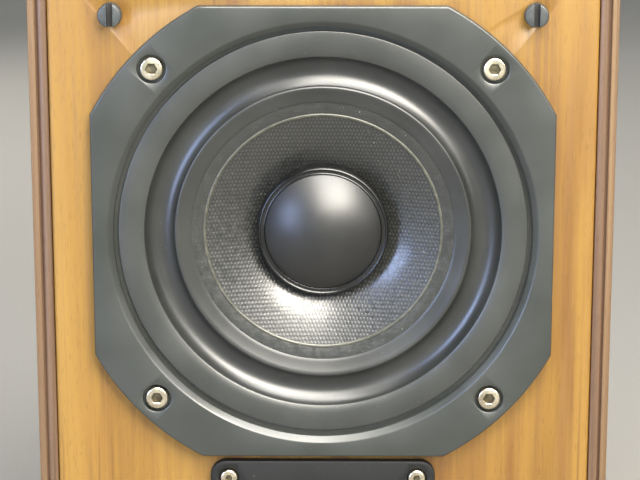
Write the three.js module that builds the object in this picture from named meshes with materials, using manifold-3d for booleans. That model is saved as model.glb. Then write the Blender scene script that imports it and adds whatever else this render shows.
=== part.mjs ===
// A two-way bookshelf speaker: a wood cabinet with the woofer above the tweeter, a crossover inside,
// and a reflex port and a terminal cup on the back.
// Millimetres. +X is right as seen from the front, +Y goes to the back, +Z is up.
// The origin is the centre of the base. Drivers are described by their depth behind their own front face.
import * as THREE from "three";
import { mergeVertices } from "three/addons/utils/BufferGeometryUtils.js";
import Module from "manifold-3d";

const wasm = await Module();
wasm.setup();

// ---- Driving dimensions ----
const GAP = 0.3; // between pieces that touch
const WIDTH = 215;
const HEIGHT = 350;
const DEPTH = 250;
const FRONT_Y = -DEPTH / 2;
const BACK_Y = DEPTH / 2;
const WALL = 15;
const RIM = 6.9; // width of the panel edge that frames the baffle and the back
const RIM_GROOVE = { from: 2.7, width: 0.6, depth: 1.4 };
const BAFFLE = 18; // thickness
const BACK = 15; // thickness

const WOOFER_Z = 240;
const WOOFER = {
  flat: 85, // half the width across the flange's flats
  arc: 96.3, // radius of the flange's cut corners
  proud: 5.2, // front face in front of the baffle
  flange: 3.9, // thickness
  hole: 81, // radius of the hole in the baffle
  screw: 62.2, // screw places, left and right, up and down
};
const TWEETER = {
  halfWidth: 42.4,
  halfHeight: 45,
  corner: 5.75,
  proud: 3.8,
  plate: 3.5,
  hole: 37,
  screwX: 35.5,
  screwZ: 38.6,
  depth: 24.3, // from its front face to the back of its yoke
};
const DRIVER_GAP = 2.4; // between the woofer's flange and the tweeter's faceplate
const TWEETER_Z = WOOFER_Z - WOOFER.flat - DRIVER_GAP - TWEETER.halfHeight;
const SCREW = { head: 4.15, headHeight: 2.6, shank: 2.5, length: 20, pocket: 5.25, socket: 2.1 };
const TWEETER_SCREW = { head: 3.2, headHeight: 2.2, shank: 1.5, length: 16, pocket: 3.7, socket: 1.25 };
const CLEARANCE = 0.4; // round a screw's shank
const PEG = { x: 77.1, z: 81.5, radius: 4.4, proud: 5, shank: 3, length: 11, slot: 2.2, slotDepth: 4 };

const BRACE_Z = 158;
const BRACE = 12; // thickness
const BRACE_WINDOW = { halfWidth: 62, front: -72, back: 78 };
const PORT = { z: 262, inner: 22, outer: 24.5, length: 105, flange: 33, thickness: 2, sleeve: 3 };
const CUP = {
  z: 85,
  halfWidth: 45,
  halfHeight: 35,
  flange: 2.5,
  depth: 20,
  wall: 2.5,
  inset: 8,
  corner: 6,
  innerCorner: 4,
};
const POST = { x: 9.5, stud: 2.2, collar: 5, nut: 6.2, nutLength: 10, washer: 4.8 };
const CUP_SCREW = { head: 3.4, headHeight: 1.8, shank: 1.4, length: 14 };
const LEAD = 1.5; // radius of an internal lead
const CROSSOVER = {
  halfWidth: 55,
  halfDepth: 45,
  board: 1.6,
  inductor: { x: -28, y: 12, inner: 9, outer: 21, height: 18 },
  capacitor: { x: 26, y: 18, radius: 9, length: 34 },
  resistor: { x: 6, y: -22, halfWidth: 5, halfDepth: 20, height: 9 },
};
const FOAM_PAD = { halfWidth: 84, front: -60, back: 100, thickness: 20 };

// ---- Shaping helpers ----
// A closed three.js geometry as a solid with its faces outwards.
function solid(geometry) {
  const bare = new THREE.BufferGeometry().setAttribute("position", geometry.getAttribute("position"));
  if (geometry.index) bare.setIndex(geometry.index);
  const merged = mergeVertices(bare, 1e-4);
  const p = merged.attributes.position.array;
  const at = merged.index.array;
  const faces = [];
  let volume = 0;
  for (let i = 0; i < at.length; i += 3) {
    const [a, b, c] = [at[i], at[i + 1], at[i + 2]];
    if (a === b || b === c || c === a) continue;
    faces.push([a, b, c]);
    const [u, v, w] = [a, b, c].map((n) => new THREE.Vector3().fromArray(p, 3 * n));
    volume += u.dot(v.cross(w));
  }
  const outwards = volume > 0 ? faces : faces.map(([a, b, c]) => [a, c, b]);
  return new wasm.Manifold(
    new wasm.Mesh({ numProp: 3, vertProperties: p, triVerts: new Uint32Array(outwards.flat()) }),
  );
}

// A block between two corners.
function block(low, high) {
  const size = low.map((v, i) => high[i] - v);
  const middle = low.map((v, i) => (v + high[i]) / 2);
  return solid(new THREE.BoxGeometry(...size).translate(...middle));
}

// A ring or disc turned about the Y axis from [radius, y] points.
function turned(points, segments) {
  const outline = points.map(([r, y]) => new THREE.Vector2(r, y));
  if (points[0][0] !== 0) outline.push(outline[0].clone());
  return solid(new THREE.LatheGeometry(outline, segments));
}

// A plate drawn in X and Z, from y to y + thickness.
function plate(shape, y, thickness, curveSegments = 4) {
  const made = new THREE.ExtrudeGeometry(shape, { depth: thickness, bevelEnabled: false, curveSegments });
  return solid(made.rotateX(Math.PI / 2).translate(0, y + thickness, 0));
}

// A round bar along Y, from y to y + length.
function bar(radius, y, length, segments = 16) {
  return solid(new THREE.CylinderGeometry(radius, radius, length, segments).translate(0, y + length / 2, 0));
}

// A round tube along a smooth curve through the points.
function tube(radius, points, steps) {
  const section = new THREE.Shape().absarc(0, 0, radius, 0, 2 * Math.PI);
  const path = new THREE.CatmullRomCurve3(points.map((p) => new THREE.Vector3(...p)));
  return solid(
    new THREE.ExtrudeGeometry(section, { extrudePath: path, steps, bevelEnabled: false, curveSegments: 4 }),
  );
}

function roundedRectangle(halfWidth, halfHeight, r) {
  const [w, h] = [halfWidth, halfHeight];
  const quarter = Math.PI / 2;
  return new THREE.Shape()
    .moveTo(-w + r, -h)
    .lineTo(w - r, -h)
    .absarc(w - r, -h + r, r, -quarter, 0)
    .lineTo(w, h - r)
    .absarc(w - r, h - r, r, 0, quarter)
    .lineTo(-w + r, h)
    .absarc(-w + r, h - r, r, quarter, 2 * quarter)
    .lineTo(-w, -h + r)
    .absarc(-w + r, -h + r, r, 2 * quarter, 3 * quarter);
}

// A square whose corners are cut by one circle round its centre.
function arcCorneredSquare(half, radius) {
  const turn = Math.acos(half / radius);
  const shape = new THREE.Shape().moveTo(half, -radius * Math.sin(turn));
  for (let corner = 0; corner < 4; corner++) {
    const start = (corner * Math.PI) / 2 + turn;
    shape.lineTo(radius * Math.cos(start), radius * Math.sin(start));
    shape.absarc(0, 0, radius, start, ((corner + 1) * Math.PI) / 2 - turn);
  }
  return shape;
}

const root = new THREE.Group();

// Adds a solid, given round the place's own origin, as the named mesh of a part.
function add(name, made, look, place = [0, 0, 0]) {
  const { vertProperties, triVerts } = made.getMesh();
  const geometry = new THREE.BufferGeometry()
    .setAttribute("position", new THREE.BufferAttribute(vertProperties, 3))
    .setIndex(new THREE.BufferAttribute(triVerts, 1));
  geometry.computeVertexNormals();
  const mesh = new THREE.Mesh(geometry, look());
  mesh.name = name;
  mesh.position.set(...place);
  root.add(mesh);
}

const finish = (color, roughness, metalness) => () =>
  new THREE.MeshStandardMaterial({ color, roughness, metalness });
const veneer = finish(0xc98f4d, 0.5, 0);
const board = finish(0xb09468, 0.9, 0);
const blackPlastic = finish(0x2f312f, 0.5, 0);
const greyPlastic = finish(0x55595f, 0.6, 0);
const rubber = finish(0x202122, 0.45, 0);
const weave = finish(0x2c2c2a, 0.4, 0);
const cloth = finish(0xb08a4a, 0.85, 0);
const foam = finish(0x2a2b2e, 1, 0);
const steel = finish(0xb9bcbd, 0.35, 1);
const gold = finish(0xcfa95a, 0.3, 1);
const copper = finish(0xb8693c, 0.35, 1);
const ferrite = finish(0x2b2b2d, 0.7, 0);
const ceramic = finish(0xe6e3da, 0.7, 0);
const redPlastic = finish(0xa82a22, 0.45, 0);
const laminate = finish(0x3d5a34, 0.6, 0);

// ---- Screws and pegs: the axis is Y, the head's front face is at y = 0 ----
function socketScrew({ head, headHeight, shank, length, socket }) {
  const chamfer = 0.4;
  const body = turned(
    [
      [0, 0],
      [head - chamfer, 0],
      [head, chamfer],
      [head, headHeight],
      [shank, headHeight],
      [shank, headHeight + length],
      [0, headHeight + length],
    ],
    12,
  );
  return body.subtract(bar(socket, -1, 1 + headHeight * 0.6, 6));
}

function crossScrew({ head, headHeight, shank, length }) {
  const crown = 0.6;
  const cross = 0.45;
  const body = turned(
    [
      [0, 0],
      [head * 0.6, 0],
      [head, headHeight - crown],
      [head, headHeight],
      [shank, headHeight],
      [shank, headHeight + length],
      [0, headHeight + length],
    ],
    10,
  );
  const arm = block([-1.7, -1, -cross], [1.7, 1, cross]);
  return body.subtract(arm).subtract(arm.rotate([0, 90, 0]));
}

function grillePeg() {
  const chamfer = 0.6;
  const { radius, proud, shank, length, slot, slotDepth } = PEG;
  const body = turned(
    [
      [0, 0],
      [radius - chamfer, 0],
      [radius, chamfer],
      [radius, proud - GAP],
      [shank, proud - GAP],
      [shank, proud + length],
      [0, proud + length],
    ],
    14,
  );
  return body.subtract(block([-slot / 2, -1, -radius - 1], [slot / 2, slotDepth, radius + 1]));
}

const corners = [
  [-1, 1],
  [1, 1],
  [1, -1],
  [-1, -1],
];
const wooferScrews = corners.map(([x, z]) => [x * WOOFER.screw, WOOFER_Z + z * WOOFER.screw]);
const tweeterScrews = corners.map(([x, z]) => [x * TWEETER.screwX, TWEETER_Z + z * TWEETER.screwZ]);
const pegTop = WOOFER_Z + PEG.z;
const pegPlaces = corners.map(([x, z]) => [x * PEG.x, z > 0 ? pegTop : HEIGHT - pegTop]);
const cupScrews = corners.map(([x, z]) => [
  x * (CUP.halfWidth - CUP.inset / 2),
  CUP.z + z * (CUP.halfHeight - CUP.inset / 2),
]);

// ---- Cabinet ----
// One panel of the mitred wrap, lying along X with its outer face down at z = 0.
function wrapPanel(length) {
  const outline = new THREE.Shape()
    .moveTo(-length / 2 + GAP, 0)
    .lineTo(length / 2 - GAP, 0)
    .lineTo(length / 2 - WALL - GAP, WALL)
    .lineTo(-length / 2 + WALL + GAP, WALL);
  const rebate = (y0, y1) => block([-length, y0, RIM], [length, y1, WALL + 1]);
  const groove = block(
    [-length, FRONT_Y - 1, RIM_GROOVE.from],
    [length, FRONT_Y + RIM_GROOVE.depth, RIM_GROOVE.from + RIM_GROOVE.width],
  );
  return plate(outline, FRONT_Y, DEPTH)
    .subtract(rebate(FRONT_Y - 1, FRONT_Y + BAFFLE + GAP))
    .subtract(rebate(BACK_Y - BACK - GAP, BACK_Y + 1))
    .subtract(groove);
}
add("cabinet_bottom", wrapPanel(WIDTH), veneer);
add("cabinet_top", wrapPanel(WIDTH).rotate([0, 180, 0]), veneer, [0, 0, HEIGHT]);
add("cabinet_left", wrapPanel(HEIGHT).rotate([0, 90, 0]), veneer, [-WIDTH / 2, 0, HEIGHT / 2]);
add("cabinet_right", wrapPanel(HEIGHT).rotate([0, -90, 0]), veneer, [WIDTH / 2, 0, HEIGHT / 2]);

// A board that fills the wrap's opening, from y to y + thickness.
const inset = RIM + GAP;
const insetBoard = (y, thickness) =>
  block([-WIDTH / 2 + inset, y, inset], [WIDTH / 2 - inset, y + thickness, HEIGHT - inset]);

let baffle = insetBoard(FRONT_Y, BAFFLE)
  .subtract(bar(WOOFER.hole, FRONT_Y - 1, BAFFLE + 2, 36).translate([0, 0, WOOFER_Z]))
  .subtract(bar(TWEETER.hole, FRONT_Y - 1, BAFFLE + 2, 24).translate([0, 0, TWEETER_Z]));
const baffleHoles = [
  ...wooferScrews.map((place) => [SCREW.shank, place]),
  ...tweeterScrews.map((place) => [TWEETER_SCREW.shank, place]),
  ...pegPlaces.map((place) => [PEG.shank, place]),
];
for (const [shank, [x, z]] of baffleHoles)
  baffle = baffle.subtract(bar(shank + CLEARANCE, FRONT_Y - 1, BAFFLE + 2, 8).translate([x, 0, z]));
add("front_baffle", baffle, veneer);

let back = insetBoard(BACK_Y - BACK, BACK)
  .subtract(bar(PORT.outer + PORT.sleeve + GAP, BACK_Y - BACK - 1, BACK + 2, 24).translate([0, 0, PORT.z]))
  .subtract(
    plate(
      roundedRectangle(CUP.halfWidth - CUP.inset + GAP, CUP.halfHeight - CUP.inset + GAP, CUP.corner),
      BACK_Y - BACK - 1,
      BACK + 2,
    ).translate([0, 0, CUP.z]),
  );
for (const [x, z] of cupScrews)
  back = back.subtract(bar(CUP_SCREW.shank + CLEARANCE, BACK_Y - BACK - 1, BACK + 2, 8).translate([x, 0, z]));
add("back_panel", back, veneer);

const insideX = WIDTH / 2 - WALL - GAP;
const brace = block(
  [-insideX, FRONT_Y + BAFFLE + GAP, BRACE_Z],
  [insideX, BACK_Y - BACK - GAP, BRACE_Z + BRACE],
).subtract(
  block(
    [-BRACE_WINDOW.halfWidth, BRACE_WINDOW.front, BRACE_Z - 1],
    [BRACE_WINDOW.halfWidth, BRACE_WINDOW.back, BRACE_Z + BRACE + 1],
  ),
);
add("shelf_brace", brace, board);

// ---- Woofer: [radius, depth behind the flange's front face] ----
const WOOFER_Y = FRONT_Y - WOOFER.proud;
const wooferPlace = [0, WOOFER_Y, WOOFER_Z];
const RING = 32; // segments of the big round parts

let basket = plate(arcCorneredSquare(WOOFER.flat, WOOFER.arc), 0, WOOFER.flange, 5)
  .subtract(bar(WOOFER.hole - 0.5, -1, WOOFER.flange + 2, RING))
  .add(
    turned(
      [
        [82, 0],
        [79.3, 0],
        [77.4, 1.5],
        [77.4, 5.3],
        [68, 5.3],
        [68, 8],
        [71, 12],
        [57.5, 32],
        [57.5, 34],
        [49, 34],
        [49, 37],
        [55, 37],
        [48, 49.5],
        [24, 49.5],
        [24, 52.5],
        [51, 52.5],
        [60, 36],
        [76, 12],
        [80, 8],
        [80, WOOFER.flange],
        [82, WOOFER.flange],
      ],
      RING,
    ),
  );
const WINDOW = { count: 6, from: 14, to: 30, halfWidth: 18 }; // openings in the basket's wall
for (let i = 0; i < WINDOW.count; i++) {
  const opening = block([40, WINDOW.from, -WINDOW.halfWidth], [100, WINDOW.to, WINDOW.halfWidth]);
  basket = basket.subtract(opening.rotate([0, ((i + 0.5) * 360) / WINDOW.count, 0]));
}
const pocketDepth = SCREW.headHeight + GAP; // the heads end flush with the flange
for (const [x, z] of corners.map((c) => c.map((v) => v * WOOFER.screw)))
  basket = basket
    .subtract(bar(SCREW.pocket, -1, 1 + pocketDepth, 12).translate([x, 0, z]))
    .subtract(bar(SCREW.shank + CLEARANCE, -1, WOOFER.flange + 2, 8).translate([x, 0, z]));
add("woofer_basket", basket, blackPlastic, wooferPlace);

let gasket = plate(arcCorneredSquare(WOOFER.flat - 1.5, WOOFER.arc - 1.5), WOOFER.flange + GAP, 1, 5).subtract(
  bar(WOOFER.hole + 0.5, 0, 10, 32),
);
for (const [x, z] of corners.map((c) => c.map((v) => v * WOOFER.screw)))
  gasket = gasket.subtract(bar(SCREW.shank + CLEARANCE, 0, 10, 8).translate([x, 0, z]));
add("woofer_gasket", gasket, foam, wooferPlace);

wooferScrews.forEach(([x, z], i) =>
  add(`woofer_screw_${i + 1}`, socketScrew(SCREW), steel, [x, WOOFER_Y + pocketDepth - SCREW.headHeight - GAP, z]),
);

// Surround: flat ring, half-roll that dips inwards, and a lip on the cone.
const ROLL = { middle: 60, depth: 2.2, radius: 6.6, thickness: 1, from: 0.33, to: 2.36 }; // radians
function rollArc(radius, from, to, steps) {
  return Array.from({ length: steps + 1 }, (_, i) => {
    const a = from + ((to - from) * i) / steps;
    return [ROLL.middle + radius * Math.cos(a), ROLL.depth + radius * Math.sin(a)];
  });
}
const surround = [
  [75.7, 3.9],
  [75.3, 3.5],
  ...rollArc(ROLL.radius, ROLL.from, ROLL.to, 6),
  [54.7, 6.1],
  [49.3, 6.75],
  [48.8, 6.95],
  [48.8, 7.1],
  [54.1, 7.1],
  ...rollArc(ROLL.radius + ROLL.thickness, ROLL.to - 0.08, ROLL.from + 0.07, 5),
  [67.5, 4.9],
  [75.7, 4.9],
];
add("woofer_surround", turned(surround, RING), rubber, wooferPlace);

add(
  "woofer_cone",
  turned(
    [
      [53.8, 7.4],
      [48.8, 7.4],
      [43.4, 8.2],
      [38.4, 10.4],
      [33, 13.4],
      [28.2, 16.8],
      [24.8, 19.6],
      [19.8, 22.4],
      [19.8, 23.7],
      [25.5, 20.8],
      [33.7, 14.5],
      [44, 9.4],
      [49.2, 8.6],
      [53.8, 8.6],
    ],
    RING,
  ),
  weave,
  wooferPlace,
);
add(
  "dust_cap_ring",
  turned(
    [
      [21.9, 7.6],
      [22.4, 7],
      [23.8, 7],
      [24.4, 7.6],
      [24.4, 19.4],
      [21.9, 19.4],
    ],
    24,
  ),
  blackPlastic,
  wooferPlace,
);

// A thin dome of the given base radius, with its edge at a depth and its top raised towards the front.
function dome(radius, edge, rise, thickness, steps) {
  const sphere = (radius ** 2 + rise ** 2) / (2 * rise);
  const half = Math.asin(radius / sphere);
  const arc = (r) =>
    Array.from({ length: steps + 1 }, (_, i) => {
      const a = (half * i) / steps;
      return [r * Math.sin(a), edge + sphere - rise - r * Math.cos(a)];
    });
  return [...arc(sphere), ...arc(sphere - thickness).reverse()];
}
add("dust_cap", turned(dome(21.6, 9, 7.4, 0.8, 5), 24), blackPlastic, wooferPlace);

const ringBetween = (inner, outer, y0, y1, segments = 24) =>
  turned(
    [
      [inner, y0],
      [outer, y0],
      [outer, y1],
      [inner, y1],
    ],
    segments,
  );
add("voice_coil_former", ringBetween(18.9, 19.5, 22, 64), cloth, wooferPlace);
add("voice_coil", ringBetween(19.8, 20.6, 50, 62), copper, wooferPlace);

// Spider: a round cloth disc with folds, glued to the former and to the basket.
const FOLDS = 3;
const foldRadius = (i) => 24 + (i * 24) / (2 * FOLDS);
const foldDepth = (i) => (i % 2 ? 33.4 : 30.8);
const folds = Array.from({ length: 2 * FOLDS + 1 }, (_, i) => [foldRadius(i), foldDepth(i)]);
const SPIDER = 0.7; // thickness
const spiderFront = [[19.8, 32], [22, 32], ...folds, [50, 33], [56.8, 33]];
const spiderBack = spiderFront.map(([r, y]) => [r, y + SPIDER]).reverse();
add("spider", turned([...spiderFront, ...spiderBack], 20), cloth, wooferPlace);

add("woofer_top_plate", ringBetween(21.1, 42, 52.8, 58.8), steel, wooferPlace);
add("woofer_magnet", ringBetween(23.5, 50, 59.1, 75), ferrite, wooferPlace);
add(
  "woofer_yoke",
  turned(
    [
      [0, 53],
      [17.8, 53],
      [18.3, 53.5],
      [18.3, 75.3],
      [42, 75.3],
      [42, 80],
      [40.7, 81.3],
      [0, 81.3],
    ],
    24,
  ),
  steel,
  wooferPlace,
);
add("woofer_terminal_strip", block([-12, 37.5, -63.6], [12, 49, -60.6]), greyPlastic, wooferPlace);
for (const [side, x] of [
  ["left", -6],
  ["right", 6],
])
  add(
    `tinsel_lead_${side}`,
    tube(
      0.7,
      [
        [x, 36.8, -62.6],
        [x, 32, -65.2],
        [x, 27.5, -63.5],
        [x, 24, -54],
        [x, 22.5, -45],
        [x, 13.6, -38],
      ],
      10,
    ),
    copper,
    wooferPlace,
  );

pegPlaces.forEach(([x, z], i) =>
  add(`grille_peg_${i + 1}`, grillePeg(), greyPlastic, [x, FRONT_Y - PEG.proud, z]),
);

// ---- Tweeter: [radius, depth behind the faceplate's front face] ----
const TWEETER_Y = FRONT_Y - TWEETER.proud;
const tweeterPlace = [0, TWEETER_Y, TWEETER_Z];
const TWEETER_RING = 28; // segments of its motor's round parts
let faceplate = plate(
  roundedRectangle(TWEETER.halfWidth, TWEETER.halfHeight, TWEETER.corner),
  0,
  TWEETER.plate,
)
  .subtract(bar(31, -1, TWEETER.plate + 2, 24))
  .add(
    turned(
      [
        [32, 0],
        [30, 0],
        [22, 1.9],
        [17.2, 3.2],
        [17.2, 5.5],
        [32, 5.5],
      ],
      24,
    ),
  );
const tweeterPocket = 1.2;
for (const [x, z] of corners.map(([sx, sz]) => [sx * TWEETER.screwX, sz * TWEETER.screwZ]))
  faceplate = faceplate
    .subtract(bar(TWEETER_SCREW.pocket, -1, 1 + tweeterPocket, 12).translate([x, 0, z]))
    .subtract(bar(TWEETER_SCREW.shank + CLEARANCE, -1, 10, 8).translate([x, 0, z]));
add("tweeter_faceplate", faceplate, blackPlastic, tweeterPlace);
tweeterScrews.forEach(([x, z], i) =>
  add(`tweeter_screw_${i + 1}`, socketScrew(TWEETER_SCREW), steel, [
    x,
    TWEETER_Y + tweeterPocket - TWEETER_SCREW.headHeight - GAP,
    z,
  ]),
);
add(
  "tweeter_dome",
  turned(
    [
      [0, 0.9],
      [5, 1.6],
      [9, 3],
      [12.4, 5.4],
      [14.6, 4.3],
      [16.8, 5.8],
      [21, 5.8],
      [21, 6.3],
      [16.6, 6.3],
      [14.6, 4.9],
      [12.7, 5.9],
      [11.8, 5.9],
      [8.6, 3.5],
      [5, 2.1],
      [0, 1.4],
    ],
    20,
  ),
  foam,
  tweeterPlace,
);
add("tweeter_voice_coil", ringBetween(12, 12.6, 6.2, 10.4, TWEETER_RING), copper, tweeterPlace);
add("tweeter_top_plate", ringBetween(13.2, 30, 7, 10, TWEETER_RING), steel, tweeterPlace);
add("tweeter_magnet", ringBetween(16, 34, 10.3, 20), ferrite, tweeterPlace);
add(
  "tweeter_yoke",
  turned(
    [
      [0, 7.5],
      [11.4, 7.5],
      [11.4, 20.3],
      [32, 20.3],
      [32, TWEETER.depth],
      [0, TWEETER.depth],
    ],
    TWEETER_RING,
  ),
  steel,
  tweeterPlace,
);

// ---- Crossover, standing on the cabinet's floor ----
const FLOOR = WALL + GAP;
const BOARD_TOP = FLOOR + CROSSOVER.board;
const { inductor, capacitor, resistor } = CROSSOVER;
add(
  "crossover_board",
  block(
    [-CROSSOVER.halfWidth, -CROSSOVER.halfDepth, FLOOR],
    [CROSSOVER.halfWidth, CROSSOVER.halfDepth, BOARD_TOP],
  ),
  laminate,
);
const upright = (made) => made.rotate([90, 0, 0]); // turns a piece made along Y to stand along Z
add("crossover_inductor", upright(ringBetween(inductor.inner, inductor.outer, 0, inductor.height)), copper, [
  inductor.x,
  inductor.y,
  BOARD_TOP + GAP,
]);
add("crossover_capacitor", bar(capacitor.radius, -capacitor.length / 2, capacitor.length, 20), greyPlastic, [
  capacitor.x,
  capacitor.y,
  BOARD_TOP + GAP + capacitor.radius,
]);
add(
  "crossover_resistor",
  block(
    [-resistor.halfWidth, -resistor.halfDepth, 0],
    [resistor.halfWidth, resistor.halfDepth, resistor.height],
  ),
  ceramic,
  [resistor.x, resistor.y, BOARD_TOP + GAP],
);

// ---- Terminal cup on the back ----
const tubHalf = [CUP.halfWidth - CUP.inset, CUP.halfHeight - CUP.inset];
let cup = plate(roundedRectangle(CUP.halfWidth, CUP.halfHeight, CUP.corner), GAP, CUP.flange)
  .add(plate(roundedRectangle(...tubHalf, CUP.corner), -CUP.depth, CUP.depth + 1))
  .subtract(
    plate(
      roundedRectangle(tubHalf[0] - CUP.wall, tubHalf[1] - CUP.wall, CUP.innerCorner),
      -CUP.depth + CUP.wall,
      CUP.depth + 10,
    ),
  );
for (const side of [-1, 1]) cup = cup.subtract(bar(POST.stud + CLEARANCE, -30, 20, 12).translate([side * POST.x, 0, 0]));
for (const [x, z] of cupScrews)
  cup = cup.subtract(bar(CUP_SCREW.shank + CLEARANCE, -1, 10, 8).translate([x, 0, z - CUP.z]));
add("terminal_cup", cup, blackPlastic, [0, BACK_Y, CUP.z]);
cupScrews.forEach(([x, z], i) =>
  add(`cup_screw_${i + 1}`, crossScrew(CUP_SCREW).rotate([180, 0, 0]), steel, [
    x,
    BACK_Y + GAP + CUP.flange + GAP + CUP_SCREW.headHeight,
    z,
  ]),
);

// A binding post: a threaded stud with a collar on the cup's floor, a clamp washer and a thumb nut.
const CUP_FLOOR_Y = BACK_Y - CUP.depth + CUP.wall;
const COLLAR = 3;
const WASHER = 1;
const STUD_TAIL = 11; // behind the cup's floor face
const STUD_NOSE = 17;
function flutedNut(length) {
  const FLUTES = 12;
  const outline = new THREE.Shape();
  for (let i = 0; i < 2 * FLUTES; i++) {
    const a = (i * Math.PI) / FLUTES;
    const r = POST.nut - (i % 2 ? 0.7 : 0);
    const move = i ? "lineTo" : "moveTo";
    outline[move](r * Math.cos(a), r * Math.sin(a));
  }
  return plate(outline, 0, length).subtract(bar(POST.stud + CLEARANCE, -1, length + 2, 16));
}
for (const [name, side, look] of [
  ["red", -1, redPlastic],
  ["black", 1, blackPlastic],
]) {
  const place = [side * POST.x, CUP_FLOOR_Y + GAP, CUP.z];
  const stud = turned(
    [
      [0, -STUD_TAIL],
      [POST.stud, -STUD_TAIL],
      [POST.stud, 0],
      [POST.collar, 0],
      [POST.collar, COLLAR],
      [POST.stud, COLLAR],
      [POST.stud, STUD_NOSE],
      [0, STUD_NOSE],
    ],
    16,
  );
  add(`binding_post_${name}`, stud, gold, place);
  const washer = ringBetween(POST.stud + CLEARANCE, POST.washer, COLLAR + GAP, COLLAR + GAP + WASHER, 16);
  add(`clamp_washer_${name}`, washer, gold, place);
  const nut = flutedNut(POST.nutLength).translate([0, COLLAR + WASHER + 2 * GAP, 0]);
  add(`thumb_nut_${name}`, nut, look, place);
}

// ---- Reflex port: [radius, y from the back panel's outer face] ----
add(
  "port_tube",
  turned(
    [
      [PORT.inner, -PORT.length],
      [PORT.outer, -PORT.length],
      [PORT.outer, -17],
      [PORT.outer + PORT.sleeve, -14],
      [PORT.outer + PORT.sleeve, GAP],
      [PORT.flange, GAP],
      [PORT.flange, GAP + 1],
      [PORT.flange - 1, GAP + PORT.thickness],
      [PORT.inner + 5, GAP + PORT.thickness],
      [PORT.inner + 2, -3],
      [PORT.inner + 0.5, -8],
      [PORT.inner, -14],
    ],
    24,
  ),
  blackPlastic,
  [0, BACK_Y, PORT.z],
);

// ---- Internal leads and damping ----
const TAIL_Y = CUP_FLOOR_Y - STUD_TAIL;
add(
  "input_lead",
  tube(
    LEAD,
    [
      [0, TAIL_Y - 4, CUP.z - 2],
      [0, TAIL_Y - 14, CUP.z - 10],
      [4, 60, 48],
      [8, 44, 26],
      [10, 36, BOARD_TOP + GAP + LEAD],
    ],
    14,
  ),
  redPlastic,
);
add(
  "woofer_lead",
  tube(
    LEAD,
    [
      [-10, -20, BOARD_TOP + GAP + LEAD + 2],
      [-16, -40, 40],
      [-14, -52, 90],
      [-8, -60, 140],
      [-3, -62, 165],
      [0, -74, WOOFER_Z - 66],
    ],
    20,
  ),
  redPlastic,
);
add(
  "tweeter_lead",
  tube(
    LEAD,
    [
      [18, -40, BOARD_TOP + GAP + LEAD + 2],
      [14, -62, 30],
      [12, -84, 55],
      [8, -94, 80],
      [6, TWEETER_Y + TWEETER.depth + LEAD + 1, TWEETER_Z - 20],
    ],
    16,
  ),
  blackPlastic,
);
const CEILING = HEIGHT - WALL - GAP;
add(
  "damping_foam",
  block(
    [-FOAM_PAD.halfWidth, FOAM_PAD.front, CEILING - FOAM_PAD.thickness],
    [FOAM_PAD.halfWidth, FOAM_PAD.back, CEILING],
  ),
  foam,
);

export default root;
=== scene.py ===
"""A two-way bookshelf loudspeaker with its grille off, built and dressed in Blender 4.5.

Metres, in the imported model's frame: +X is right as seen from the front, +Y goes to the back, +Z is up.
Sizes in the classes are millimetres. Driver depths are measured backwards from each driver's own front face.
"""

from __future__ import annotations

import logging
import math
from collections.abc import Callable, Sequence
from dataclasses import dataclass, field
from enum import Enum

import bmesh
import bpy
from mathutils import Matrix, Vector


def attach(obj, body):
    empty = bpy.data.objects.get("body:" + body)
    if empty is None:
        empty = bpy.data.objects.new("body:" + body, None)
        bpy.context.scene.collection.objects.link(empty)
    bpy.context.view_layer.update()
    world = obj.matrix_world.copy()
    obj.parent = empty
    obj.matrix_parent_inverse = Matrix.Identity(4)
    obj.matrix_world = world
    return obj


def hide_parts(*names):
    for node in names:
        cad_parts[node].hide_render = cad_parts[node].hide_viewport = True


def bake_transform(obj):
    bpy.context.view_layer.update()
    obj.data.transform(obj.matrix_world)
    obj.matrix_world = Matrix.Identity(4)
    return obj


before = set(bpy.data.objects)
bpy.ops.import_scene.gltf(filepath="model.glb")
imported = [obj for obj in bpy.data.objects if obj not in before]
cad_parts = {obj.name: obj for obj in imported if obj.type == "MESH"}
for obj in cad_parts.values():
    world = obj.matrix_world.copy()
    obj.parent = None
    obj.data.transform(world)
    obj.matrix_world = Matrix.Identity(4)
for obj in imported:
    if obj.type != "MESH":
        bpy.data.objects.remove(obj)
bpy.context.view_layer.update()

LOG = logging.getLogger("speaker")
MM = 0.001
GAP = 0.3  # between pieces that touch, in mm
SPECK = 0.6  # the size of a speck of dust, in mm
CORNERS = ((-1, 1), (1, 1), (1, -1), (-1, -1))

Point = tuple[float, float]
Outline = Callable[[float], list[Point]]
Weight = Callable[[Vector], float]


class Body(Enum):
    """The bodies that pieces move with."""

    CABINET = "cabinet"
    WOOFER = "woofer_diaphragm"
    TWEETER = "tweeter_diaphragm"
    CLAMP_RED = "clamp_red"
    CLAMP_BLACK = "clamp_black"
    NUT_RED = "nut_red"
    NUT_BLACK = "nut_black"


class Slot(Enum):
    """The record's finishes."""

    VENEER = "veneer"
    BARE_BOARD = "bare_board"
    MOULDED_BLACK = "moulded_black"
    RUBBER_ROLL = "rubber_roll"
    CONE_WEAVE = "cone_weave"
    SATIN_BLACK_CAP = "satin_black_cap"
    BLACK_FOAM = "black_foam"
    RESIN_CLOTH = "resin_cloth"
    COPPER_WIRE = "copper_wire"
    PLATED_STEEL = "plated_steel"
    FERRITE = "ferrite"
    GREY_PLASTIC = "grey_plastic"
    DOME_CLOTH = "dome_cloth"
    CIRCUIT_BOARD = "circuit_board"
    WHITE_CERAMIC = "white_ceramic"
    GOLD_PLATE = "gold_plate"
    MOULDED_RED = "moulded_red"


class Grain(Enum):
    """The direction in which a board's grain runs."""

    UP = (1.0, 1.0, 0.0)
    ACROSS = (0.0, 1.0, 1.0)
    BACK = (1.0, 0.0, 1.0)


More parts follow.
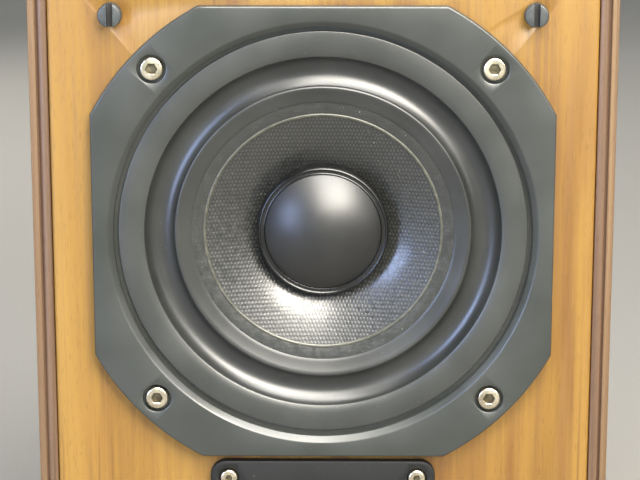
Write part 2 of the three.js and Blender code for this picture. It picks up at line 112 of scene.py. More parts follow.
# ---- Finishes ----
def linear(colour: str) -> tuple[float, float, float, float]:
    """Turn an sRGB hex colour into linear red, green, blue and alpha.

    Args:
        colour: the colour as "#rrggbb".

    Returns:
        The four linear values.
    """
    parts = [int(colour[i : i + 2], 16) / 255 for i in (1, 3, 5)]
    red, green, blue = (c / 12.92 if c <= 0.04045 else ((c + 0.055) / 1.055) ** 2.4 for c in parts)
    return red, green, blue, 1.0


def live(source: bpy.types.NodeSocket | bpy.types.Node) -> bpy.types.NodeSocket:
    """Return an output as it is, or a node's first output that is in use.

    Args:
        source: the output or the node.

    Returns:
        The output.
    """
    if isinstance(source, bpy.types.Node):
        return next(out for out in source.outputs if out.enabled)
    return source


def add_node(
    tree: bpy.types.NodeTree,
    kind: str,
    settings: dict[str | int, object] | None = None,
    links: dict[str | int, bpy.types.NodeSocket | bpy.types.Node] | None = None,
) -> bpy.types.Node:
    """Add one node with its settings and links.

    Args:
        tree: the tree that the node joins.
        kind: the node's type name, after "ShaderNode".
        settings: values by input name or number, or by property name. "stops" fills a colour ramp, and text
            that starts with # is a colour.
        links: the output, or the node, that feeds each named or numbered input.

    Returns:
        The node.
    """
    made = tree.nodes.new(f"ShaderNode{kind}")
    for key, value in (settings or {}).items():
        if isinstance(value, str) and value.startswith("#"):
            value = linear(value)
        if key == "stops":
            ramp = made.color_ramp
            while len(ramp.elements) < len(value):
                ramp.elements.new(0.5)
            for element, (position, colour) in zip(ramp.elements, value):
                element.position, element.color = position, linear(colour)
        elif isinstance(key, int) or key in made.inputs:
            made.inputs[key].default_value = value
        else:
            setattr(made, key, value)
    for key, source in (links or {}).items():
        tree.links.new(live(source), made.inputs[key])
    return made


def span(low: float, high: float, to_low: float = 0.0, to_high: float = 1.0) -> dict[str | int, object]:
    """Return the settings that stretch a pattern's range, low to high, onto another, to_low to to_high."""
    return {"From Min": low, "From Max": high, "To Min": to_low, "To Max": to_high}


def spots(
    tree: bpy.types.NodeTree,
    place: bpy.types.NodeSocket,
    size: tuple[float, float, float],
    detail: float,
    distortion: float = 0.0,
) -> bpy.types.Node:
    """Make a soft random pattern whose spots have a real size.

    Args:
        tree: the material's node tree.
        place: the position in metres.
        size: the spots' size along X, Y and Z, in mm.
        detail: how many finer layers it has.
        distortion: how much it swirls.

    Returns:
        The pattern.
    """
    scaled = add_node(tree, "Mapping", {"Scale": tuple(1 / (MM * s) for s in size)}, {"Vector": place})
    settings = {"Scale": 1.0, "Detail": detail, "Distortion": distortion}
    return add_node(tree, "TexNoise", settings, {"Vector": scaled})


@dataclass(frozen=True)
class Finish:
    """What a surface is made of and how it was made; each kind of finish adds its own nodes."""

    name: str
    slot: Slot

    def dress(
        self, tree: bpy.types.NodeTree, place: bpy.types.NodeSocket
    ) -> dict[str, bpy.types.Node | float]:
        """Add the finish's own nodes.

        Args:
            tree: the material's node tree.
            place: the position on the piece, in metres.

        Returns:
            The number or the node for each of the shader's inputs that the finish sets.
        """
        raise NotImplementedError

    def material(self) -> bpy.types.Material:
        """Make the material, or return it if it is made.

        Returns:
            The material.
        """
        made = bpy.data.materials.get(self.name)
        if made is None:
            made = bpy.data.materials.new(self.name)
            made.use_nodes = True
            tree = made.node_tree
            shader = tree.nodes["Principled BSDF"]
            for socket, value in self.dress(tree, add_node(tree, "TexCoord").outputs["Object"]).items():
                if isinstance(value, bpy.types.Node):
                    tree.links.new(live(value), shader.inputs[socket])
                else:
                    shader.inputs[socket].default_value = value
        return made


@dataclass(frozen=True)
class Veneer(Finish):
    """Sliced cherry veneer under satin lacquer: soft bands, fine streaks, some brown lines and open pores."""

    grain: Grain = Grain.UP
    dark: str = "#96662b"
    middle: str = "#b88a39"
    light: str = "#c69a46"
    band: float = 17.0  # the figure's width across the grain, in mm
    streak: float = 1.5
    pore: float = 0.45  # real pores are about 0.1 mm wide; this is as fine as shows
    roughness: float = 0.42
    coat: float = 0.04
    line: float = 2.4  # the width of the few brown lines
    brown: str = "#80501f"
    pore_colour: str = "#6d4416"

    def size(self, across: float, along: float) -> tuple[float, float, float]:
        """Return a pattern's size on each axis, from its sizes across and along the grain."""
        x, y, z = (across if a else along for a in self.grain.value)
        return x, y, z

    def dress(
        self, tree: bpy.types.NodeTree, place: bpy.types.NodeSocket
    ) -> dict[str, bpy.types.Node | float]:
        """Add bands, streaks, brown lines and pores, as Finish.dress says."""
        bands = spots(tree, place, self.size(self.band, 240.0), 3.0, 0.5)
        stops = ((0.3, self.dark), (0.5, self.middle), (0.68, self.light))
        colour = add_node(tree, "ValToRGB", {"stops": stops}, {0: bands})
        streaks = spots(tree, place, self.size(self.streak, 70.0), 4.0, 0.3)
        lines = spots(tree, place, self.size(self.line, 190.0), 1.0, 0.2)
        pores = spots(tree, place, self.size(self.pore, 5.0), 1.0)
        open_pore = add_node(tree, "MapRange", span(0.62, 0.72), {"Value": pores})
        for pattern, ends, tint in (
            (streaks, span(0.52, 0.78, 0.0, 0.5), self.dark),
            (streaks, span(0.46, 0.3, 0.0, 0.45), self.light),
            (lines, span(0.66, 0.76, 0.0, 0.55), self.brown),
            (open_pore, span(0.0, 1.0, 0.0, 0.28), self.pore_colour),
        ):
            share = add_node(tree, "MapRange", ends, {"Value": pattern})
            colour = add_node(tree, "Mix", {"data_type": "RGBA", 7: tint}, {0: share, 6: colour})
        rough = span(0.3, 0.7, self.roughness - 0.06, self.roughness + 0.08)
        relief = add_node(tree, "Math", {"operation": "SUBTRACT"}, {0: streaks, 1: open_pore})
        return {
            "Base Color": colour,
            "Roughness": add_node(tree, "MapRange", rough, {"Value": streaks}),
            "Coat Weight": self.coat,
            "Coat Roughness": 0.28,
            "Normal": add_node(tree, "Bump", {"Distance": 0.03 * MM, "Strength": 0.5}, {"Height": relief}),
        }


@dataclass(frozen=True)
class Grained(Finish):
    """A surface of one substance with a fine grain: plastic, rubber, foam, plate, ferrite or ceramic."""

    colour: str = "#2a2b2a"
    second: str = "#353735"
    grain: float = 0.5  # the grain's size in mm
    cloud: float = 18.0  # the size of the soft patches of shade, in mm
    relief: float = 0.015
    roughness: float = 0.4
    spread: float = 0.08
    metallic: float = 0.0
    ior: float = 1.5
    coat: float = 0.0
    sheen: float = 0.0
    dust: float = 0.0  # how much of the settled household dust shows

    def dress(
        self, tree: bpy.types.NodeTree, place: bpy.types.NodeSocket
    ) -> dict[str, bpy.types.Node | float]:
        """Add the soft patches, the grain and the dust, as Finish.dress says."""
        patches = spots(tree, place, (self.cloud,) * 3, 3.0)
        grains = spots(tree, place, (self.grain,) * 3, 2.0)
        shade = add_node(tree, "Math", {"operation": "MULTIPLY_ADD", 1: 0.5}, {0: grains, 2: patches})
        share = add_node(tree, "MapRange", span(0.55, 0.95), {"Value": shade})
        colour = add_node(tree, "Mix", {"data_type": "RGBA", 6: self.colour, 7: self.second}, {0: share})
        if self.dust:
            specks = spots(tree, place, (SPECK,) * 3, 0.0)
            share = add_node(tree, "MapRange", span(0.87, 0.9, 0.0, self.dust), {"Value": specks})
            colour = add_node(tree, "Mix", {"data_type": "RGBA", 7: "#a8a8a2"}, {0: share, 6: colour})
        rough = span(0.3, 0.7, self.roughness - self.spread, self.roughness + self.spread)
        return {
            "Base Color": colour,
            "Roughness": add_node(tree, "MapRange", rough, {"Value": patches}),
            "Metallic": self.metallic,
            "IOR": self.ior,
            "Coat Weight": self.coat,
            "Sheen Weight": self.sheen,
            "Normal": add_node(
                tree, "Bump", {"Distance": self.relief * MM, "Strength": 1.0}, {"Height": grains}
            ),
        }


@dataclass(frozen=True)
class Woven(Finish):
    """Plain-woven cloth stiffened with resin: each crossing is a small glossy bump, in straight rows, and the
    hollows between are painted darker as shade.
    """

    colour: str = "#454743"
    shaded_valley: str = "#1e1f1e"
    across: float = 1.3  # spacing of the crossings along a row, in mm
    row: float = 1.5  # spacing of the rows, in mm
    relief: float = 0.12
    roughness: float = 0.38
    coat: float = 0.42
    sheen: float = 0.0
    dust: float = 0.8

    def dress(
        self, tree: bpy.types.NodeTree, place: bpy.types.NodeSocket
    ) -> dict[str, bpy.types.Node | float]:
        """Add the threads and the dust, as Finish.dress says."""
        wander = spots(tree, place, (9.0,) * 3, 1.0)
        shift = add_node(tree, "Math", {"operation": "MULTIPLY", 1: 0.8}, {0: wander})
        axes = add_node(tree, "SeparateXYZ", None, {0: place})
        waves = []
        for axis, period in ((0, self.across), (2, 2 * self.row)):
            turns = {"operation": "MULTIPLY_ADD", 1: 2 * math.pi / (period * MM)}
            angle = add_node(tree, "Math", turns, {0: axes.outputs[axis], 2: shift})
            waves.append(add_node(tree, "Math", {"operation": "SINE"}, {0: angle}))
        crossing = add_node(tree, "Math", {"operation": "MULTIPLY"}, {0: waves[0], 1: waves[1]})
        rows = add_node(tree, "Math", {"operation": "MULTIPLY_ADD"}, {0: waves[1], 1: waves[1], 2: crossing})
        bump = add_node(tree, "MapRange", span(-1.0, 2.0), {"Value": rows})
        uneven = spots(tree, place, (1.9,) * 3, 1.0)
        share = add_node(tree, "MapRange", span(0.3, 0.7, 0.55, 1.0), {"Value": uneven})
        height = add_node(tree, "Math", {"operation": "MULTIPLY"}, {0: bump, 1: share})
        # Painted shade: the colour darkens from the crossings down into the hollows.
        share = add_node(tree, "MapRange", span(0.2, 0.75), {"Value": bump})
        colour = add_node(tree, "Mix", {"data_type": "RGBA", 6: self.shaded_valley, 7: self.colour}, {0: share})
        specks = spots(tree, place, (SPECK,) * 3, 0.0)
        share = add_node(tree, "MapRange", span(0.85, 0.89, 0.0, self.dust), {"Value": specks})
        rough = span(0.3, 0.7, self.roughness - 0.08, self.roughness + 0.12)
        return {
            "Base Color": add_node(tree, "Mix", {"data_type": "RGBA", 7: "#b5b5ae"}, {0: share, 6: colour}),
            "Roughness": add_node(tree, "MapRange", rough, {"Value": uneven}),
            "Coat Weight": self.coat,
            "Coat Roughness": 0.2,
            "Sheen Weight": self.sheen,
            "Normal": add_node(
                tree, "Bump", {"Distance": self.relief * MM, "Strength": 1.0}, {"Height": height}
            ),
        }


@dataclass(frozen=True)
class Wound(Finish):
    """Enamelled wire wound side by side, or the fine rings that a lathe leaves; the grooves between are
    painted darker as shade.
    """

    colour: str = "#b4683a"
    groove: str = "#5d2f18"
    pitch: float = 0.4  # spacing of the turns, in mm
    axis: int = 1  # the axis along which the turns are spaced
    relief: float = 0.08
    roughness: float = 0.3
    metallic: float = 1.0

    def dress(
        self, tree: bpy.types.NodeTree, place: bpy.types.NodeSocket
    ) -> dict[str, bpy.types.Node | float]:
        """Add the turns, as Finish.dress says."""
        axes = add_node(tree, "SeparateXYZ", None, {0: place})
        turns = {"operation": "MULTIPLY", 1: 2 * math.pi / (self.pitch * MM)}
        angle = add_node(tree, "Math", turns, {0: axes.outputs[self.axis]})
        sine = add_node(tree, "Math", {"operation": "SINE"}, {0: angle})
        wave = add_node(tree, "MapRange", span(-1.0, 1.0), {"Value": sine})
        tarnish = spots(tree, place, (4.0,) * 3, 3.0)
        # Painted shade: the colour darkens into the grooves between the turns; the tarnish below darkens
        # towards the same colour.
        share = add_node(tree, "MapRange", span(0.05, 0.5), {"Value": wave})
        colour = add_node(tree, "Mix", {"data_type": "RGBA", 6: self.groove, 7: self.colour}, {0: share})
        share = add_node(tree, "MapRange", span(0.55, 0.8, 0.0, 0.4), {"Value": tarnish})
        rough = span(0.3, 0.7, self.roughness - 0.08, self.roughness + 0.15)
        return {
            "Base Color": add_node(tree, "Mix", {"data_type": "RGBA", 7: self.groove}, {0: share, 6: colour}),
            "Roughness": add_node(tree, "MapRange", rough, {"Value": tarnish}),
            "Metallic": self.metallic,
            "Normal": add_node(
                tree, "Bump", {"Distance": self.relief * MM, "Strength": 1.0}, {"Height": wave}
            ),
        }


# Cherry veneer on the panels and the front, lacquered satin: warm and lightly streaked along the grain.
FRONT_VENEER = Veneer("cherry_veneer_front", Slot.VENEER)
SIDE_VENEER = Veneer("cherry_veneer_side", Slot.VENEER, dark="#8c5e29", middle="#ae833d", light="#bd9349")
CROSS_VENEER = Veneer(
    "cherry_veneer_across", Slot.VENEER, Grain.ACROSS, dark="#8c5e29", middle="#ae833d", light="#bd9349"
)
# Solid edge strips, planed across the layers, so greyer and pinker than the veneer's face.
EDGE_UP = Veneer(
    "edge_strip_up", Slot.VENEER, Grain.UP, "#7c5e3b", "#926f46", "#a27f53", 1.4, 0.7, 0.4, 0.6, 0.0
)
EDGE_ACROSS = Veneer(
    "edge_strip_across", Slot.VENEER, Grain.ACROSS, "#7c5e3b", "#926f46", "#a27f53", 1.4, 0.7, 0.4, 0.6, 0.0
)
# The bead has taken more stain and more lacquer: darker, redder and shinier.
BEAD_UP = Veneer(
    "stained_bead_up", Slot.VENEER, Grain.UP, "#684c35", "#84664b", "#95775d", 2.5, 0.9, 0.4, 0.4, 0.2
)
BEAD_ACROSS = Veneer(
    "stained_bead_across", Slot.VENEER, Grain.ACROSS, "#684c35", "#84664b", "#95775d", 2.5, 0.9, 0.4, 0.4, 0.2
)
# Painted shade: the groove and the joint beside the front board are coloured dark brown for the shade that
# falls in them.
GROOVE_SHADE = Grained("groove_painted_shade", Slot.VENEER, "#6b4a2e", "#805c3c", 0.8, 20.0, 0.03, 0.7, 0.05)
# Raw particle board, sawn: matt, tan and speckled with chips.
BOARD = Grained("particle_board", Slot.BARE_BOARD, "#8d6f45", "#b99a69", 1.6, 30.0, 0.12, 0.85, 0.05)
# ABS moulded in a finely spark-eroded tool: dark grey, with a soft sheen that breaks up on the grain.
FRAME_PLASTIC = Grained(
    "moulded_abs_frame", Slot.MOULDED_BLACK, "#434743", "#4b4f4b", 0.35, 25.0, 0.012, 0.36, dust=0.5
)
PLATE_PLASTIC = Grained(
    "moulded_abs_plate", Slot.MOULDED_BLACK, "#121413", "#171918", 0.45, 25.0, 0.03, 0.6, ior=1.36, dust=0.4
)
RING_PLASTIC = Grained(
    "moulded_abs_ring", Slot.MOULDED_BLACK, "#131414", "#1a1b1b", 0.4, 12.0, 0.004, 0.24, dust=0.4
)
CUP_PLASTIC = Grained("moulded_abs_cup", Slot.MOULDED_BLACK, "#1c1d1d", "#262727", 0.6, 25.0, 0.04, 0.5)
# Butyl rubber, pressed in a polished mould: near black with long satin reflections.
ROLL_RUBBER = Grained(
    "butyl_rubber", Slot.RUBBER_ROLL, "#343635", "#3e403e", 0.3, 20.0, 0.006, 0.33, 0.04, dust=0.5
)
# The flat ring is a lighter copy of the roll's rubber, and the lip a little lighter: painted sheen for their
# broad reflections.
RING_RUBBER_SHEEN = Grained(
    "butyl_rubber_ring_painted_sheen", Slot.RUBBER_ROLL, "#444744", "#4e514d", 0.3, 20.0, 0.006, 0.38, 0.05, dust=0.6
)
LIP_RUBBER_SHEEN = Grained(
    "butyl_rubber_lip_painted_sheen", Slot.RUBBER_ROLL, "#373937", "#40423f", 0.3, 20.0, 0.006, 0.38, 0.05, dust=0.6
)
# Woven cone cloth set in resin: rows of small glossy bumps.
CONE_CLOTH = Woven("woven_cone_cloth", Slot.CONE_WEAVE)
# The cone's outer zone has a rubber coating brushed on, so the weave only just shows.
COATED_CLOTH = Woven(
    "coated_cone_cloth", Slot.CONE_WEAVE, "#393b38", "#313330", relief=0.03, roughness=0.36, coat=0.35
)
# The edge of the coating has dried as a bead of glue, painted a lighter olive than the cloth: partly the
# glue's colour, partly a painted highlight for the glint along it.
GLUE_BEAD_HIGHLIGHT = Grained("glue_bead_painted_highlight", Slot.CONE_WEAVE, "#4f5045", "#6a6a5b", 0.7, 3.0, 0.06, 0.42, coat=0.15)
# Dust cap of pressed polypropylene: soft satin black.
CAP_PLASTIC = Grained(
    "pressed_cap", Slot.SATIN_BLACK_CAP, "#252625", "#2c2d2c", 0.3, 15.0, 0.004, 0.4, 0.03, dust=0.4
)
# Zinc-plated steel: bright, slightly warm, with a fine turned grain.
ZINC = Grained("zinc_plated_steel", Slot.PLATED_STEEL, "#b0a690", "#c9c0ab", 0.4, 4.0, 0.01, 0.3, 0.08, 1.0)
# The socket's walls are a darker, browner zinc: painted shade in the hexagon recess.
SOCKET_ZINC_SHADE = Grained("socket_zinc_painted_shade", Slot.PLATED_STEEL, "#4a4436", "#7b7460", 0.5, 3.0, 0.02, 0.4, 0.08, 1.0)
MAGNET_STEEL = Grained(
    "passivated_steel", Slot.PLATED_STEEL, "#a8a79c", "#c3c2b8", 0.8, 12.0, 0.02, 0.36, 0.08, 1.0
)
# Grille pegs of grey nylon: pale and waxy.
PEG_NYLON = Grained("grey_nylon", Slot.GREY_PLASTIC, "#474c4c", "#5a6060", 0.7, 2.0, 0.03, 0.4, 0.06)
# The slot's walls are painted near black: painted shade in the narrow slot.
PEG_SLOT_SHADE = Grained("grey_nylon_slot_shade", Slot.GREY_PLASTIC, "#171818", "#232424", 0.6, 2.0, 0.03, 0.6, 0.06)
GREY_PLASTIC = Grained(
    "grey_plastic_parts", Slot.GREY_PLASTIC, "#45494b", "#585d60", 0.6, 9.0, 0.03, 0.5, 0.06
)
# Open-cell foam: matt charcoal, all small holes.
FOAM = Grained("open_cell_foam", Slot.BLACK_FOAM, "#1e1f22", "#3a3c40", 0.9, 9.0, 0.5, 0.95, 0.03, sheen=0.3)
# Cotton cloth set in brown resin, for the spider and the coil former.
RESIN_CLOTH = Woven(
    "resin_cotton", Slot.RESIN_CLOTH, "#b98d4f", "#7d5a2b", 0.7, 0.7, 0.12, 0.6, 0.1, dust=0.0
)
# Woven silk dome with a tacky coating: dark, with a faint weave.
DOME_CLOTH = Woven(
    "coated_silk", Slot.DOME_CLOTH, "#1d1d1e", "#141415", 0.5, 0.5, 0.02, 0.4, 0.15, sheen=0.3, dust=0.5
)
COIL_WIRE = Wound("enamelled_wire", Slot.COPPER_WIRE)
INDUCTOR_WIRE = Wound("inductor_wire", Slot.COPPER_WIRE, pitch=1.1, axis=2, relief=0.3)
TINSEL = Wound("tinsel_braid", Slot.COPPER_WIRE, "#b98456", "#6d4426", 0.6, 2, 0.12, 0.4)
# Sintered ferrite, ground on its faces: matt charcoal.
FERRITE = Grained("sintered_ferrite", Slot.FERRITE, "#252628", "#343538", 0.7, 9.0, 0.05, 0.7, 0.08)
# Fibre board under green solder resist.
LAMINATE = Grained("solder_resist", Slot.CIRCUIT_BOARD, "#26491f", "#31592a", 0.8, 14.0, 0.02, 0.35, coat=0.3)
# Cast white ceramic body of a power resistor: chalky.
CERAMIC = Grained("cast_ceramic", Slot.WHITE_CERAMIC, "#d5d0c2", "#e6e2d6", 0.5, 6.0, 0.05, 0.75, 0.06)
# Gold flashed over brass: yellow and bright with fine turning marks.
GOLD = Wound("gold_flash", Slot.GOLD_PLATE, "#d9b35f", "#b88f42", 0.35, 1, 0.01, 0.22)
# Caps of the thumb nuts, moulded in a polished tool.
RED_PLASTIC = Grained(
    "moulded_red", Slot.MOULDED_RED, "#9b1f19", "#ad2a22", 0.5, 8.0, 0.01, 0.3, 0.05, coat=0.2
)
NUT_PLASTIC = Grained(
    "moulded_black_nut", Slot.MOULDED_BLACK, "#191a1a", "#222323", 0.5, 8.0, 0.01, 0.3, 0.05
)

# Matt painted floor: hardly any gloss, so the lights leave no glare on it.
STUDIO_FLOOR = Grained(
    "studio_floor", Slot.BARE_BOARD, "#c9c7c1", "#d0cec9", 2.0, 900.0, 0.02, 0.9, 0.05, ior=1.1
)


# ---- Shaping ----
def softened(points: Sequence[Point], radius: float, steps: int = 3, closed: bool = True) -> list[Point]:
    """Round the sharp corners of a section.

    Args:
        points: the section's corners.
        radius: how far from the corner the rounding starts, at most, in the points' own units.
        steps: how many edges the rounding has.
        closed: whether the last corner joins the first.

    Returns:
        The rounded section.
    """
    made: list[Point] = []
    count = len(points)
    for i, here in enumerate(points):
        if not closed and i in (0, count - 1):
            made.append(here)
            continue
        corner = Vector(here)
        back, ahead = Vector(points[i - 1]) - corner, Vector(points[(i + 1) % count]) - corner
        if back.length < 1e-9 or ahead.length < 1e-9 or math.pi - back.angle(ahead) < math.radians(25):
            made.append(here)
            continue
        reach = min(radius, 0.45 * back.length, 0.45 * ahead.length)
        start, end = corner + back.normalized() * reach, corner + ahead.normalized() * reach
        for step in range(steps + 1):
            t = step / steps
            point = start * (1 - t) ** 2 + corner * 2 * t * (1 - t) + end * t**2
            made.append((point.x, point.y))
    return made


def smoothed(points: Sequence[Point], steps: int) -> list[Point]:
    """Draw a smooth curve through points.

    Args:
        points: the points.
        steps: how many edges lie between one point and the next.

    Returns:
        The curve's points.
    """
    ends = [
        Vector(points[0]) * 2 - Vector(points[1]), *map(Vector, points),
        Vector(points[-1]) * 2 - Vector(points[-2])
    ]
    made: list[Point] = []
    for a, b, c, d in zip(ends, ends[1:], ends[2:], ends[3:]):
        for step in range(steps):
            t = step / steps
            curve = 2 * b + (c - a) * t + (2 * a - 5 * b + 4 * c - d) * t**2 + (3 * b - a - 3 * c + d) * t**3
            made.append((curve.x / 2, curve.y / 2))
    return [*made, tuple(points[-1])]


def circle(radius: float, count: int) -> Outline:
    """Return the outline function of a circle of that radius, in mm, with that many points."""

    def outline(inset: float) -> list[Point]:
        """Return the circle, drawn in by the inset."""
        turns = (2 * math.pi * i / count for i in range(count))
        return [((radius - inset) * math.cos(a), (radius - inset) * math.sin(a)) for a in turns]

    return outline


def arc_cornered_square(half: float, radius: float, flat: int = 24, arc: int = 26) -> Outline:
    """Describe a square whose corners are cut by one circle round its centre.

    Args:
        half: half the width across the flats, in mm.
        radius: the circle's radius.
        flat: points along each flat.
        arc: points along each cut corner.

    Returns:
        The outline function.
    """

    def outline(inset: float) -> list[Point]:
        """Return the square, drawn in by the inset."""
        h, r = half - inset, radius - inset
        turn = math.acos(h / r)
        points: list[Point] = []
        for side in range(4):
            c, s = math.cos(side * math.pi / 2), math.sin(side * math.pi / 2)
            for i in range(flat):
                v = r * math.sin(turn) * (2 * i / flat - 1)
                points.append((h * c - v * s, h * s + v * c))
            for i in range(arc):
                a = side * math.pi / 2 + turn + (math.pi / 2 - 2 * turn) * i / arc
                points.append((r * math.cos(a), r * math.sin(a)))
        return points

    return outline


def rounded_rectangle(half_width: float, half_height: float, corner: float, flat: int = 12) -> Outline:
    """Describe a rectangle with round corners.

    Args:
        half_width: half its width, in mm.
        half_height: half its height.
        corner: its corners' radius.
        flat: points along each side.

    Returns:
        The outline function.
    """

    def outline(inset: float) -> list[Point]:
        """Return the rectangle, drawn in by the inset."""
        w, h, r = half_width - inset, half_height - inset, max(corner - inset, 0.05)
        middles = ((w - r, h - r, 0), (r - w, h - r, 1), (r - w, r - h, 2), (w - r, r - h, 3))
        points: list[Point] = []
        for i, (x, z, quarter) in enumerate(middles):
            for step in range(9):
                a = (quarter + step / 8) * math.pi / 2
                points.append((x + r * math.cos(a), z + r * math.sin(a)))
            after = middles[(i + 1) % 4]
            a = (quarter + 1) * math.pi / 2
            start, end = points[-1], (after[0] + r * math.cos(a), after[1] + r * math.sin(a))
            for step in range(1, flat):
                t = step / flat
                points.append((start[0] * (1 - t) + end[0] * t, start[1] * (1 - t) + end[1] * t))
        return points

    return outline


def fluted(radius: float, flutes: int, depth: float) -> Outline:
    """Describe a circle with scalloped grips.

    Args:
        radius: its outer radius, in mm.
        flutes: how many scallops it has.
        depth: how deep they are.

    Returns:
        The outline function.
    """

    def outline(inset: float) -> list[Point]:
        """Return the scalloped circle, drawn in by the inset."""
        count = flutes * 10
        points: list[Point] = []
        for i in range(count):
            a = 2 * math.pi * i / count
            r = radius - inset - depth * (1 - abs(math.cos(a * flutes / 2))) ** 0.8
            points.append((r * math.cos(a), r * math.sin(a)))
        return points

    return outline


@dataclass
class Skin:
    """A mesh made from rings of points that are joined in order."""

    x: float = 0.0
    y: float = 0.0
    z: float = 0.0
    rings: list[list[Vector]] = field(default_factory=list)

    def ring(self, points: Sequence[Point], depth: float) -> Skin:
        """Add one ring.

        Args:
            points: its points across and up, in mm from the middle.
            depth: its place along Y, in mm.

        Returns:
            The skin itself.
        """
        middle = Vector((self.x, self.y + depth, self.z))
        self.rings.append([(middle + Vector((px, 0, pz))) * MM for px, pz in points])
        return self

    def turn(self, section: Sequence[Point], segments: int) -> Skin:
        """Add the rings of a turned section.

        Args:
            section: [radius, depth] points; a radius of 0 is a pole.
            segments: how many sides a ring has.

        Returns:
            The skin itself.
        """
        for radius, depth in section:
            self.ring(circle(radius, segments)(0) if radius > 1e-6 else [(0.0, 0.0)], depth)
        return self

    def follow(self, outline: Outline, section: Sequence[Point]) -> Skin:
        """Add rings that follow an outline.

        Args:
            outline: the outline function.
            section: [inset, depth] points.

        Returns:
            The skin itself.
        """
        for inset, depth in section:
            self.ring(outline(inset), depth)
        return self

    def fan(self, outline: Outline, section: Sequence[Point]) -> Skin:
        """Add round rings whose points lie in the same directions as an outline's.

        Args:
            outline: the outline function.
            section: [radius, depth] points.

        Returns:
            The skin itself.
        """
        turns = [math.atan2(pz, px) for px, pz in outline(0)]
        for radius, depth in section:
            self.ring([(radius * math.cos(a), radius * math.sin(a)) for a in turns], depth)
        return self

    def mesh(self, name: str, loop: bool = True, sharp: float = 35.0) -> bpy.types.Mesh:
        """Join the rings.

        Args:
            name: the mesh's name.
            loop: whether the last ring joins the first; if not, open ends are capped.
            sharp: the angle in degrees from which an edge looks sharp.

        Returns:
            The closed mesh.
        """
        shape = bmesh.new()
        rings = [[shape.verts.new(p) for p in ring] for ring in self.rings]
        pairs = list(zip(rings, rings[1:])) + ([(rings[-1], rings[0])] if loop else [])
        for a, b in pairs:
            if len(a) == len(b) == 1:
                continue
            count = max(len(a), len(b))
            for i in range(count):
                j = (i + 1) % count
                corners = [a[i % len(a)], a[j % len(a)], b[j % len(b)], b[i % len(b)]]
                shape.faces.new(list(dict.fromkeys(corners)))
        if not loop:
            for ring in (rings[0], rings[-1]):
                if len(ring) > 1:
                    shape.faces.new(ring)
        return as_mesh(name, shape, sharp)


def as_mesh(name: str, shape: bmesh.types.BMesh, sharp: float = 35.0) -> bpy.types.Mesh:
    """Turn an edited shape into a mesh with its faces outwards and its soft edges smooth.

    Args:
        name: the mesh's name.
        shape: the shape, which is freed.
        sharp: the angle in degrees from which an edge looks sharp.

    Returns:
        The mesh.
    """
    bmesh.ops.recalc_face_normals(shape, faces=shape.faces)
    made = bpy.data.meshes.new(name)
    shape.to_mesh(made)
    shape.free()
    made.shade_smooth()
    made.set_sharp_from_angle(angle=math.radians(sharp))
    return made


def block(name: str, low: Sequence[float], high: Sequence[float]) -> bpy.types.Mesh:
    """Make a cutter between two corners, in mm."""
    shape = bmesh.new()
    bmesh.ops.create_cube(shape, size=1)
    for vert in shape.verts:
        vert.co = Vector((low[i] if vert.co[i] < 0 else high[i]) * MM for i in range(3))
    return as_mesh(name, shape)


def drill(
    x: float, z: float, radius: float, near: float, far: float, lip: float = 0.0, sides: int = 48
) -> bpy.types.Mesh:
    """Make a cutter for a round hole along Y.

    Args:
        x: its place across, in mm.
        z: its height.
        radius: its radius.
        near: where it starts along Y.
        far: where it ends.
        lip: how far its near end flares out, to round the mouth; near is then the mouth's own face.
        sides: how many sides it has.

    Returns:
        The cutter.
    """
    mouth = [(radius + lip, near), (radius + 0.35 * lip, near + 0.35 * lip), (radius, near + lip)]
    section = [(0.0, near - 3), (radius + lip, near - 3), *mouth] if lip else [(0.0, near), (radius, near)]
    return Skin(x, 0.0, z).turn([*section, (radius, far), (0.0, far)], sides).mesh("cutter", loop=False)


def carved(mesh: bpy.types.Mesh, cutters: Sequence[bpy.types.Mesh], sharp: float = 35.0) -> bpy.types.Mesh:
    """Cut shapes that don't touch each other out of a mesh.

    Args:
        mesh: the mesh to cut, which is used up.
        cutters: the shapes to cut away, which are used up.
        sharp: the angle in degrees from which an edge looks sharp.

    Returns:
        The cut mesh.
    """
    joined = bmesh.new()
    for cutter in cutters:
        joined.from_mesh(cutter)
        bpy.data.meshes.remove(cutter)
    tool_mesh = as_mesh("tool", joined)
    tool, blank = bpy.data.objects.new("tool", tool_mesh), bpy.data.objects.new("blank", mesh)
    for thing in (tool, blank):
        bpy.context.scene.collection.objects.link(thing)
    cut = blank.modifiers.new("cut", "BOOLEAN")
    cut.object, cut.operation, cut.solver = tool, "DIFFERENCE", "EXACT"
    bpy.context.view_layer.update()
    made = bpy.data.meshes.new_from_object(blank.evaluated_get(bpy.context.evaluated_depsgraph_get()))
    name = mesh.name
    for thing in (tool, blank):
        bpy.data.objects.remove(thing)
    for used in (mesh, tool_mesh):
        bpy.data.meshes.remove(used)
    made.name = name
    made.shade_smooth()
    made.set_sharp_from_angle(angle=math.radians(sharp))
    return made


def rope(
    name: str, points: Sequence[Sequence[float]], radius: float, sides: int = 12, steps: int = 8
) -> bpy.types.Mesh:
    """Make a round strand along a smooth path.

    Args:
        name: the mesh's name.
        points: the path, in mm.
        radius: the strand's radius.
        sides: how many sides it has.
        steps: how many lengths lie between one point and the next.

    Returns:
        The closed mesh.
    """
    along = smoothed_path(points, steps)
    skin = Skin()
    side = Vector((1, 0, 0))
    for i, here in enumerate(along):
        ahead = (along[min(i + 1, len(along) - 1)] - along[max(i - 1, 0)]).normalized()
        side = (side - ahead * side.dot(ahead)).normalized()
        up = ahead.cross(side)
        turns = (2 * math.pi * k / sides for k in range(sides))
        skin.rings.append([(here + (side * math.cos(a) + up * math.sin(a)) * radius) * MM for a in turns])
    return skin.mesh(name, loop=False)


def smoothed_path(points: Sequence[Sequence[float]], steps: int) -> list[Vector]:
    """Draw a smooth path through points in space, with that many steps between one point and the next."""
    flat = [smoothed([(float(i), p[axis]) for i, p in enumerate(points)], steps) for axis in range(3)]
    return [Vector((a[1], b[1], c[1])) for a, b, c in zip(*flat)]


